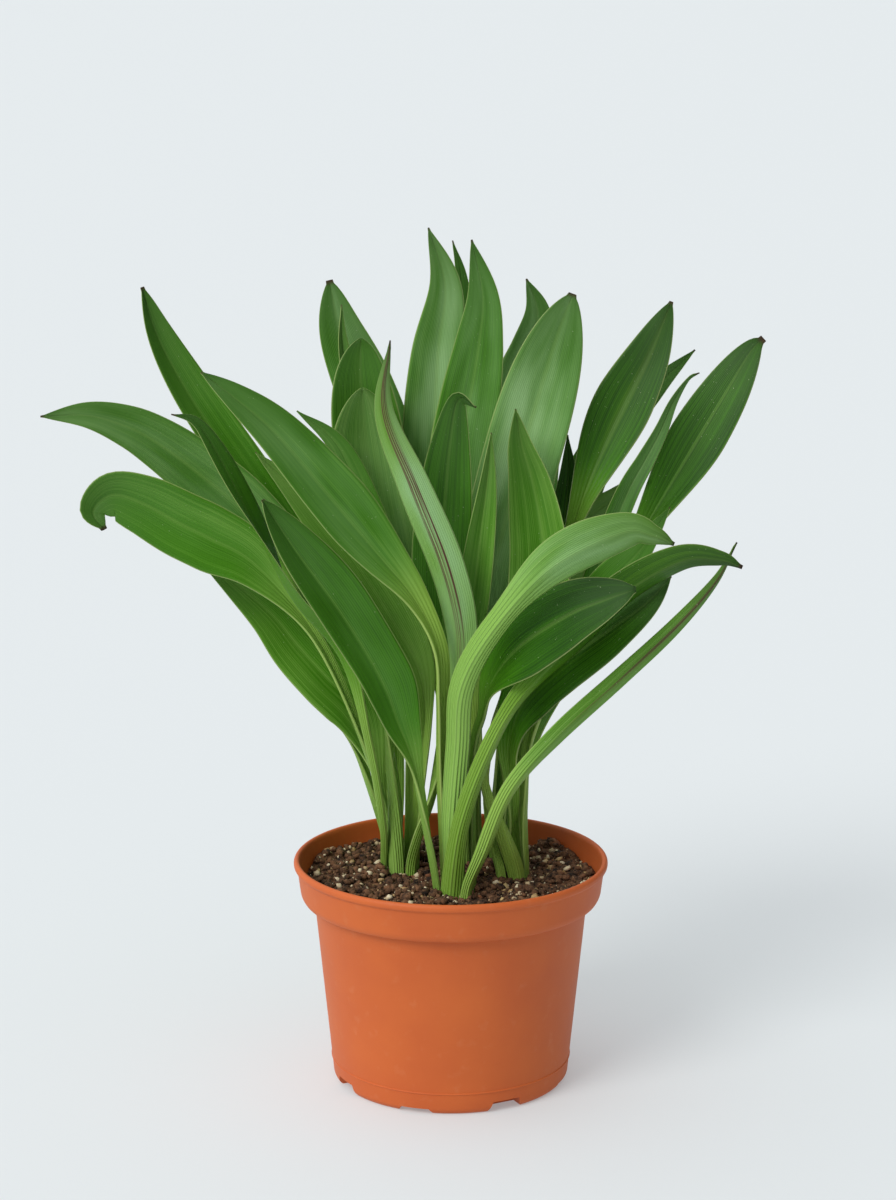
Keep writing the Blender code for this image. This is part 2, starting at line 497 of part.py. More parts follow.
def build_leaf(row):
    """One leaf: two alike skins joined round the edge."""
    upper, lower = leaf_rows(row, STATIONS, STRIPS)
    bm = bmesh.new()
    tops = [[bm.verts.new(p * MM) for p in line] for line in upper]
    unders = [[bm.verts.new(p * MM) for p in line] for line in lower]
    for skin in (tops, unders):
        for near, far in zip(skin, skin[1:]):
            for j in range(STRIPS):
                quad = [near[j], near[j + 1], far[j + 1], far[j]]
                if j < STRIPS / 2:
                    bm.faces.new([quad[0], quad[1], quad[2]])
                    bm.faces.new([quad[0], quad[2], quad[3]])
                else:
                    bm.faces.new([quad[0], quad[1], quad[3]])
                    bm.faces.new([quad[1], quad[2], quad[3]])
    for j in (0, STRIPS):
        for k in range(len(STATIONS) - 1):
            bm.faces.new([tops[k][j], tops[k + 1][j], unders[k + 1][j], unders[k][j]])
    for k in (0, len(STATIONS) - 1):
        for j in range(STRIPS):
            bm.faces.new([tops[k][j], tops[k][j + 1], unders[k][j + 1], unders[k][j]])
    bmesh.ops.triangulate(bm, faces=[f for f in bm.faces if len(f.verts) > 3])
    return new_object(row[0], bm, MATERIALS["green_leaf"])


clear_scene()
MATERIALS = {
    "terracotta_plastic": material("terracotta_plastic", (0.50, 0.17, 0.07), 0.55),
    "potting_soil": material("potting_soil", (0.05, 0.03, 0.02), 0.95),
    "green_leaf": material("green_leaf", (0.08, 0.22, 0.05), 0.45),
}
build_pot()
build_soil()
for leaf in LEAVES:
    build_leaf(leaf)
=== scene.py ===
# %% [markdown]
# Potted ti plant. The plant is a clump of long green strap leaves on channelled stalks. It stands in
# dark potting soil in a round terracotta-coloured nursery pot.

# %% Load the plain model
import math
import random

import bmesh
import bpy
from mathutils import Euler, Matrix, Vector, noise


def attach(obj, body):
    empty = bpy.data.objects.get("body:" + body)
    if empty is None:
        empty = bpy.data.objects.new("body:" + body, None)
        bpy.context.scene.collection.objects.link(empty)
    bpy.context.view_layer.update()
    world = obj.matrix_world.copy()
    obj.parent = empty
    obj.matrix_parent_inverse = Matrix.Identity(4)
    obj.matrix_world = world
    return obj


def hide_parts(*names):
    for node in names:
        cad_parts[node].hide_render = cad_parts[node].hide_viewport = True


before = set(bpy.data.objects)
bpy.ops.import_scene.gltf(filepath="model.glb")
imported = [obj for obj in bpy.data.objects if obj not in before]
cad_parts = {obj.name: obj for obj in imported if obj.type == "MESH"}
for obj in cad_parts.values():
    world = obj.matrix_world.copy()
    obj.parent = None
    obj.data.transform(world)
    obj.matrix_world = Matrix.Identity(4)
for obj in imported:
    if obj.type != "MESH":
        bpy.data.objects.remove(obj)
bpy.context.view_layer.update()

MM = 0.001
print("plain model:", len(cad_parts), "solids")

# %% [markdown]
# Colours are written as sRGB hex values, as a paint program shows them. Blender's shaders work in
# linear light, so one function turns a hex value into linear red, green and blue.

# %% Colours
def linear(hex_colour):
    """Linear RGBA of an sRGB hex colour such as '3F7A2C'."""
    parts = [int(hex_colour[i:i + 2], 16) / 255.0 for i in (0, 2, 4)]
    parts = [c / 12.92 if c <= 0.04045 else ((c + 0.055) / 1.055) ** 2.4 for c in parts]
    return (*parts, 1.0)


print("mid green in linear light:", [round(c, 3) for c in linear("3F7A2C")])

# %% [markdown]
# A material is a small graph of shader nodes. One helper adds a node, sets its options and fills its
# inputs. An input given as another node becomes a link from that node's first live output, an input
# given as a socket becomes a link from it, and anything else becomes the socket's own value. Most
# finishes turn a noise into a level between two values, straight or smoothly.

# %% Node helper
SMOOTH = {"interpolation_type": "SMOOTHSTEP"}


def add(tree, kind, inputs=None, **settings):
    """Adds a shader node of a kind to a tree, with its inputs by name or number."""
    node = tree.nodes.new("ShaderNode" + kind)
    for name, value in settings.items():
        setattr(node, name, value)
    for key, value in (inputs or {}).items():
        if isinstance(value, bpy.types.Node):
            value = next(out for out in value.outputs if out.enabled)
        if isinstance(value, bpy.types.NodeSocket):
            tree.links.new(value, node.inputs[key])
        else:
            node.inputs[key].default_value = value
    return node


def rise(value, start, end, top=1.0):
    """What a map range needs to go from 0 at start to top at end, upward or downward."""
    return {"Value": value, "From Min": start, "From Max": end, "To Max": top}


def new_material(name, roughness, ior):
    """An empty material: its node tree and its Principled shader."""
    finish = bpy.data.materials.new(name)
    finish.use_nodes = True
    shader = finish.node_tree.nodes["Principled BSDF"]
    shader.inputs["Roughness"].default_value = roughness
    shader.inputs["IOR"].default_value = ior
    return finish, finish.node_tree, shader


print("node helper ready")

# %% [markdown]
# Every piece starts as loose points and faces. A second helper turns them into an object with finishes,
# shaded smooth because moulded plastic and leaf skin have no facets.

# %% Mesh helper
def link_mesh(name, bm, *finishes):
    """Makes a smooth-shaded object of a bmesh."""
    mesh = bpy.data.meshes.new(name)
    bm.to_mesh(mesh)
    bm.free()
    mesh.shade_smooth()
    for finish in finishes:
        mesh.materials.append(finish)
    piece = bpy.data.objects.new(name, mesh)
    bpy.context.scene.collection.objects.link(piece)
    return piece


print("mesh helper ready")

# %% [markdown]
# The camera looks slightly down on the plant from its front. Its place and its lens come from the oval
# of the pot's rim and of its base: with this camera a 17 cm rim covers the photographed one.

# %% Camera
CAMERA_PLACE = (-0.0015, -1.5, 0.5917)
CAMERA_DOWN = 12.29
CAMERA_LENS = 86.8
lens = bpy.data.cameras.new("camera")
lens.sensor_fit = "VERTICAL"
lens.sensor_height = 36.0
lens.lens = CAMERA_LENS
camera = bpy.data.objects.new("camera", lens)
bpy.context.scene.collection.objects.link(camera)
camera.location = CAMERA_PLACE
camera.rotation_euler = (math.radians(90.0 - CAMERA_DOWN), 0.0, 0.0)
bpy.context.scene.camera = camera
print("camera looks", CAMERA_DOWN, "degrees down through a lens of", CAMERA_LENS, "mm")

# %% [markdown]
# A plant on a white studio table is lit from everywhere, but most from above and from the left. The
# world is that light: it is bright on one side of the room and dim on the other and low in front, so
# the satin leaves keep their deep green where they face the camera. A large far soft light adds their
# pale sheen, and the pot's faint shadow on the right. A sun is used for it, because a sun lights a wide
# floor evenly, where a near soft box would leave a bright spot. The table is a milky sheet that is lit
# from below as well, which is why the photographed shadow is so faint.

# %% Floor and light
TABLE_GLOW = 0.28
BRIGHT_SIDE = (-0.62, 0.05, 0.78)
SUN_WAY = (0.68, 0.80, -0.85)
SUN_COLOUR = (1.0, 0.985, 0.95)


def build_floor():
    """A plain floor so wide that its edge lies above the picture."""
    bm = bmesh.new()
    bmesh.ops.create_circle(bm, cap_ends=True, segments=96, radius=120.0)
    finish, _, shader = new_material("milky_light_table", 0.95, 1.45)
    shader.inputs["Base Color"].default_value = linear("BEC3C5")
    shader.inputs["Specular IOR Level"].default_value = 0.1
    shader.inputs["Emission Color"].default_value = linear("F4F8FA")
    shader.inputs["Emission Strength"].default_value = TABLE_GLOW
    floor = link_mesh("floor", bm, finish)


def soft_sun(name, direction, strength, softness, colour):
    """A sun that shines along a direction, with an angle that blurs its shadows."""
    data = bpy.data.lights.new(name, "SUN")
    data.energy = strength
    data.angle = math.radians(softness)
    data.color = colour
    light = bpy.data.objects.new(name, data)
    bpy.context.scene.collection.objects.link(light)
    light.rotation_euler = Vector(direction).to_track_quat("-Z", "Y").to_euler()


def studio_world():
    """Light from every side, by how near a direction comes to the bright side of the room."""
    world = bpy.data.worlds.new("studio")
    bpy.context.scene.world = world
    world.use_nodes = True
    tree = world.node_tree
    way = add(tree, "TexCoord").outputs["Generated"]
    toward = add(tree, "VectorMath", {0: way, 1: BRIGHT_SIDE}, operation="DOT_PRODUCT")
    level = add(tree, "MapRange", {"Value": toward, "From Min": -0.3, "From Max": 0.95, "To Min": 0.16,
                                   "To Max": 1.10}, **SMOOTH)
    tree.nodes["Background"].inputs["Color"].default_value = linear("F4F6F8")
    tree.links.new(level.outputs[0], tree.nodes["Background"].inputs["Strength"])


studio_world()
bpy.context.scene.view_settings.view_transform = "Standard"
build_floor()
soft_sun("key", SUN_WAY, strength=1.55, softness=28.0, colour=SUN_COLOUR)
print("floor and light placed")

# %% [markdown]
# The pot is a thin injection-moulded nursery pot: a leaning wall, a step under a deep collar, a rolled
# bead round the rim and notches under the foot for water. It is turned from one outline, as a moulder's
# drawing gives it: each corner of the outline has a radius of its own. Spinning the outline gives sharp
# rings, and a bevel on each ring then gives the corner its rounding.

# %% Pot outline
FLOOR = 1.8
LEDGE_TOP = 8.0
# radius, height, rounding of the corner, in millimetres
POT_OUTLINE = [
    (0.0, 0.0, 0.0), (61.6, 0.0, 0.9), (64.0, 2.4, 1.4), (64.9, 11.5, 0.0), (65.35, 11.8, 0.15),
    (65.4, 12.3, 0.15), (65.0, 12.6, 0.0), (73.85, 100.5, 0.5), (79.4, 101.1, 0.8), (81.1, 103.8, 1.4),
    (83.0, 118.2, 0.9), (84.5, 118.9, 0.7), (85.0, 120.5, 0.8), (84.6, 122.2, 0.8), (83.4, 123.0, 0.6),
    (82.2, 122.6, 0.5), (81.6, 121.4, 0.6), (81.2, 119.0, 1.0), (79.45, 104.4, 1.2), (74.9, 102.2, 1.0),
    (72.3, 99.2, 1.0), (60.9, LEDGE_TOP, 0.8), (49.0, LEDGE_TOP, 0.8), (46.0, FLOOR, 0.8),
    (0.0, FLOOR, 0.0)]
POT_STEPS = 144


def spin_outline(bm, points, steps):
    """Turns a chain of (radius, height) in millimetres about the upright axis."""
    chain = [bm.verts.new((radius * MM, 0.0, height * MM)) for radius, height in points]
    edges = [bm.edges.new(pair) for pair in zip(chain, chain[1:])]
    bmesh.ops.spin(bm, geom=chain + edges, cent=(0, 0, 0), axis=(0, 0, 1), angle=2.0 * math.pi,
                   steps=steps, use_merge=True)
    bmesh.ops.remove_doubles(bm, verts=bm.verts, dist=1e-6)
    bmesh.ops.recalc_face_normals(bm, faces=bm.faces)


def ring_edges(bm, radius, height):
    """Edges of the ring at a radius and height, in millimetres."""
    def on_ring(v):
        return abs(math.hypot(v.co.x, v.co.y) - radius * MM) < 1e-5 and abs(v.co.z - height * MM) < 1e-5
    return [e for e in bm.edges if all(on_ring(v) for v in e.verts)]


print("pot outline has", len(POT_OUTLINE), "corners")

# %% [markdown]
# Water leaves through eight shallow notches under the foot, tall and low ones in turn. Each is cut with
# a block: a cube whose top is drawn in, so the notch's sides lean. A drain hole stands over each notch.

# %% Pot cutters
NOTCH_FIRST = 27.5
NOTCH_COUNT = 8
NOTCH_TALL = 6.0
NOTCH_LOW = 3.0
# across, through the wall, in millimetres
NOTCH_SIZE = (22.0, 17.0)
NOTCH_AWAY = 61.5
NOTCH_LEAN = 0.30
# radius, length, distance from the middle and height of the middle of a drain hole's pin
DRAIN_PIN = (2.6, 12.0, 57.0, 4.5)


def notch_block(bm, index):
    """A block with leaning sides, across the wall at the foot."""
    tall = NOTCH_TALL if index % 2 == 0 else NOTCH_LOW
    width, through = NOTCH_SIZE
    turn = math.radians(NOTCH_FIRST + index * 360.0 / NOTCH_COUNT)
    middle_place = Matrix.Translation((0, -NOTCH_AWAY * MM, (tall - 2.0) / 2.0 * MM))
    place = Matrix.Rotation(turn, 4, "Z") @ middle_place
    size = Matrix.Diagonal((width * MM, through * MM, (tall + 2.0) * MM, 1.0))
    block = bmesh.ops.create_cube(bm, size=1.0, matrix=place @ size)["verts"]
    top = [v for v in block if v.co.z > 0.0005]
    middle = sum((v.co for v in top), Vector()) / len(top)
    side = Vector((math.cos(turn), math.sin(turn), 0.0))
    for v in top:
        v.co -= side * (v.co - middle).dot(side) * NOTCH_LEAN


def drain_pin(bm, index):
    """A pin for one drain hole, over a notch."""
    radius, length, away, height = DRAIN_PIN
    turn = math.radians(NOTCH_FIRST + index * 360.0 / NOTCH_COUNT)
    place = Matrix.Rotation(turn, 4, "Z") @ Matrix.Translation((0, -away * MM, height * MM))
    bmesh.ops.create_cone(bm, cap_ends=True, segments=20, radius1=radius * MM, radius2=radius * MM,
                          depth=length * MM, matrix=place)


def cut_away(piece, make, count):
    """Takes shapes away from a piece with an exact boolean and keeps the result as its mesh."""
    bm = bmesh.new()
    for index in range(count):
        make(bm, index)
    bmesh.ops.recalc_face_normals(bm, faces=bm.faces)
    cutter = link_mesh("cutter", bm)
    modifier = piece.modifiers.new("cut", "BOOLEAN")
    modifier.operation = "DIFFERENCE"
    modifier.solver = "EXACT"
    modifier.object = cutter
    graph = bpy.context.evaluated_depsgraph_get()
    cut_mesh = bpy.data.meshes.new_from_object(piece.evaluated_get(graph))
    piece.modifiers.clear()
    piece.data = cut_mesh
    bpy.data.objects.remove(cutter, do_unlink=True)


print("cutters for", NOTCH_COUNT, "notches and drain holes")

# %% [markdown]
# The pot is terracotta-coloured polypropylene, as it comes out of the mould: matt, with a faint orange
# peel, a slightly cloudy colour and a few pale scuffs from handling. Three scales of noise on the pot's
# own place give that: clouds of 40 mm, scuffs of 7 mm and a peel of under a millimetre.

# %% Pot plastic
def pot_plastic():
    """Matt moulded plastic: warm orange red that stays saturated where the light is soft."""
    finish, tree, shader = new_material("moulded_polypropylene_terracotta", 0.55, 1.49)
    shader.inputs["Specular IOR Level"].default_value = 0.3
    place = add(tree, "TexCoord").outputs["Object"]
    clouds = add(tree, "TexNoise", {"Vector": place, "Scale": 25.0, "Detail": 4.0})
    scuffs = add(tree, "TexNoise", {"Vector": place, "Scale": 140.0, "Detail": 3.0})
    peel = add(tree, "TexNoise", {"Vector": place, "Scale": 1500.0, "Detail": 2.0})
    cloud_level = add(tree, "MapRange", rise(clouds, 0.3, 0.7))
    base = add(tree, "Mix", {0: cloud_level, 6: linear("C35D2B"), 7: linear("CC662F")}, data_type="RGBA")
    scuff_level = add(tree, "MapRange", rise(scuffs, 0.60, 0.80, 0.18))
    dusty = add(tree, "Mix", {0: scuff_level, 6: base, 7: linear("D08A62")}, data_type="RGBA")
    tree.links.new(dusty.outputs[2], shader.inputs["Base Color"])
    rough = add(tree, "MapRange", {"Value": clouds, "To Min": 0.48, "To Max": 0.62})
    tree.links.new(rough.outputs[0], shader.inputs["Roughness"])
    bump = add(tree, "Bump", {"Height": peel, "Distance": 0.05 * MM, "Strength": 1.0})
    tree.links.new(bump.outputs[0], shader.inputs["Normal"])
    return finish


def build_pot():
    bm = bmesh.new()
    spin_outline(bm, [(radius, height) for radius, height, _ in POT_OUTLINE], POT_STEPS)
    for radius, height, rounding in POT_OUTLINE:
        if rounding > 0.0:
            bmesh.ops.bevel(bm, geom=ring_edges(bm, radius, height), offset=rounding * MM, segments=3,
                            profile=0.5, affect="EDGES", material=-1)
    pot = link_mesh("nursery_pot", bm, pot_plastic())
    cut_away(pot, notch_block, NOTCH_COUNT)
    cut_away(pot, drain_pin, NOTCH_COUNT)
    pot.data.set_sharp_from_angle(angle=math.radians(50.0))
    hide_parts("pot")
    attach(pot, "root")
    return pot


pot = build_pot()
print("pot has", len(pot.data.polygons), "faces")

# %% [markdown]
# Potting soil is a crumbly mix: dark peat, pale perlite, tan vermiculite and a few shreds of bark. The
# body of the soil is one spun shape. Its top is moved up and down by waves, by noise and by four broad
# lumps, where the soil was pressed or heaped.

# %% Soil body
SOIL_TOP = 110.0
# middle, rise and spread of each lump, in millimetres
SOIL_LUMPS = [(62.0, 46.0, 5.0, 14.0), (-62.0, 34.0, 3.0, 16.0), (20.0, 60.0, -1.5, 18.0),
              (-10.0, -55.0, 1.5, 20.0)]
# radius and height of the corners under the top, in millimetres
SOIL_SIDE = [(0.0, 2.1), (45.7, 2.1), (48.7, 8.3), (60.6, 8.3), (72.0, 99.4), (74.6, 102.6),
             (79.1, 104.8)]
SOIL_EDGE = 79.65
SOIL_RINGS = 54
SOIL_STEPS = 240


def soil_height(x, y):
    """Height of the soil's top in millimetres at a place in millimetres."""
    # waves of about 60 mm and 30 mm, then the lumps, then noise of 7 mm and of 3 mm
    lump = 1.6 * math.sin(x / 9.0 + 0.6) * math.cos(y / 11.0 - 0.4) + 0.7 * math.sin(x / 4.3 - y / 5.1)
    for middle_x, middle_y, high, spread in SOIL_LUMPS:
        lump += high * math.exp(-((x - middle_x) ** 2 + (y - middle_y) ** 2) / (spread * spread))
    lump += 1.3 * noise.noise(Vector((x / 7.0, y / 7.0, 3.0)))
    lump += 1.1 * noise.noise(Vector((x / 3.2, y / 3.2, 9.0)))
    return SOIL_TOP + lump


def build_soil(finish):
    top = [(SOIL_EDGE * (1.0 - k / SOIL_RINGS), SOIL_TOP) for k in range(SOIL_RINGS + 1)]
    outline = SOIL_SIDE + top
    bm = bmesh.new()
    spin_outline(bm, outline, SOIL_STEPS)
    for v in bm.verts:
        if v.co.z > (SOIL_TOP - 0.5) * MM:
            v.co.z = soil_height(v.co.x / MM, v.co.y / MM) * MM
    soil = link_mesh("potting_soil", bm, finish)
    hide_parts("soil")
    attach(soil, "root")
    return soil


print("soil stands at", round(soil_height(0, -60), 1), "mm near the front of the rim")

# %% [markdown]
# Damp peat is almost black in its hollows and brown on its crumbs, with paler fibres in it. Mineral
# grains and bark are each one plain colour, but no two grains are alike, so each carries a shade of its
# own between a dark and a light colour.

# %% Soil finishes
def peat():
    """Damp peat: deep warm brown, with lighter fibres, quite rough."""
    finish, tree, shader = new_material("damp_peat", 0.9, 1.4)
    place = add(tree, "TexCoord").outputs["Object"]
    clods = add(tree, "TexNoise", {"Vector": place, "Scale": 180.0, "Detail": 6.0, "Roughness": 0.7})
    fibres = add(tree, "TexNoise", {"Vector": place, "Scale": 900.0, "Detail": 4.0})
    level = add(tree, "MapRange", rise(clods, 0.38, 0.68))
    base = add(tree, "Mix", {0: level, 6: linear("1B100A"), 7: linear("8A6244")}, data_type="RGBA")
    speck = add(tree, "MapRange", rise(fibres, 0.62, 0.72, 0.7))
    colour = add(tree, "Mix", {0: speck, 6: base, 7: linear("B48C62")}, data_type="RGBA")
    tree.links.new(colour.outputs[2], shader.inputs["Base Color"])
    height = add(tree, "Math", {0: fibres, 1: 0.5, 2: clods}, operation="MULTIPLY_ADD")
    bump = add(tree, "Bump", {"Height": height, "Distance": 1.6 * MM, "Strength": 1.0})
    tree.links.new(bump.outputs[0], shader.inputs["Normal"])
    return finish


def grain(name, dark, light, roughness):
    """A mineral or bark grain. Each grain has its own shade between two colours."""
    finish, tree, shader = new_material(name, roughness, 1.5)
    shade = add(tree, "Attribute", attribute_name="shade").outputs["Fac"]
    place = add(tree, "TexCoord").outputs["Object"]
    pores = add(tree, "TexNoise", {"Vector": place, "Scale": 1600.0, "Detail": 3.0})
    level = add(tree, "Math", {0: pores, 1: 0.5, 2: shade}, operation="MULTIPLY_ADD")
    reach = add(tree, "MapRange", rise(level, 0.1, 1.3))
    colour = add(tree, "Mix", {0: reach, 6: linear(dark), 7: linear(light)}, data_type="RGBA")
    tree.links.new(colour.outputs[2], shader.inputs["Base Color"])
    bump = add(tree, "Bump", {"Height": pores, "Distance": 0.4 * MM, "Strength": 1.0})
    tree.links.new(bump.outputs[0], shader.inputs["Normal"])
    return finish


PEAT = peat()
soil = build_soil(PEAT)
print("soil has", len(soil.data.polygons), "faces")

# %% [markdown]
# Loose crumbs and grains lie on the soil. Each is an icosphere of twenty faces, squashed, turned and
# dented by its own seeded chance. Small ones are far more common than large ones, as in a sieved mix.

# %% Crumbs and grains
SMALL_BIAS = 3.4
DENT = 0.22
TILT = 0.6
GRAIN_REACH = 1.5


def scatter(name, finish, count, low, high, flat, seed, sink=0.2):
    """Many small grains on the soil, as one piece. Sizes are radii in millimetres."""
    chance = random.Random(seed)
    bm = bmesh.new()
    shade = bm.verts.layers.float.new("shade")
    for _ in range(count):
        away = SOIL_EDGE * math.sqrt(chance.random()) - GRAIN_REACH
        turn = chance.uniform(0.0, 2.0 * math.pi)
        x, y = away * math.cos(turn), away * math.sin(turn)
        size = low + (high - low) * chance.random() ** SMALL_BIAS
        place = Vector((x, y, soil_height(x, y) + size * (flat - sink))) * MM
        spin = Euler((chance.uniform(-TILT, TILT), chance.uniform(-TILT, TILT), chance.uniform(0, 6.28)))
        stretch = Matrix.Diagonal((chance.uniform(0.8, 1.4), chance.uniform(0.7, 1.1), flat, 1.0))
        spot = Matrix.Translation(place) @ spin.to_matrix().to_4x4() @ stretch
        grains = bmesh.ops.create_icosphere(bm, subdivisions=1, radius=size * MM, matrix=spot)["verts"]
        tone = chance.random()
        for v in grains:
            v.co += Vector([chance.uniform(-DENT, DENT) * size * MM for _ in range(3)])
            v[shade] = tone
    piece = link_mesh(name, bm, finish)
    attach(piece, "root")


PERLITE = grain("perlite", "A88C60", "E9DCBC", 0.85)
VERMICULITE = grain("vermiculite", "8A683E", "CDAE78", 0.6)
BARK = grain("shredded_bark", "4A2A18", "8C5734", 0.8)
scatter("peat_crumbs", PEAT, count=4200, low=0.5, high=2.8, flat=0.75, seed=11)
scatter("perlite_grains", PERLITE, count=900, low=0.30, high=2.1, flat=0.75, seed=12, sink=0.0)
scatter("vermiculite_flakes", VERMICULITE, count=420, low=0.5, high=2.8, flat=0.5, seed=13)
scatter("bark_shreds", BARK, count=160, low=0.9, high=3.8, flat=0.35, seed=14)
print("crumbs, perlite, vermiculite and bark scattered")

# %% [markdown]
# Each leaf of a ti plant is one long stalk, channelled like a gutter, that opens into a strap-shaped
# blade. Forty leaves drawn by hand would be forty meshes to keep. Instead each leaf is one line of a
# table: the points that its midrib passes, how wide it is, where the blade begins, which way its upper
# face looks, how far it folds and how blunt its tip is. One formula turns a line into a surface.

# %% Leaf table
HOLE_FLOOR = 98.3
CENTRE = (2.0, -20.0)
LEFT = (-27.5, 18.0)
RIGHT = (32.0, 8.0)
BACK_MID = (8.0, 38.0)
BACK_LEFT = (-28.0, 46.0)
BACK_RIGHT = (32.0, 40.0)

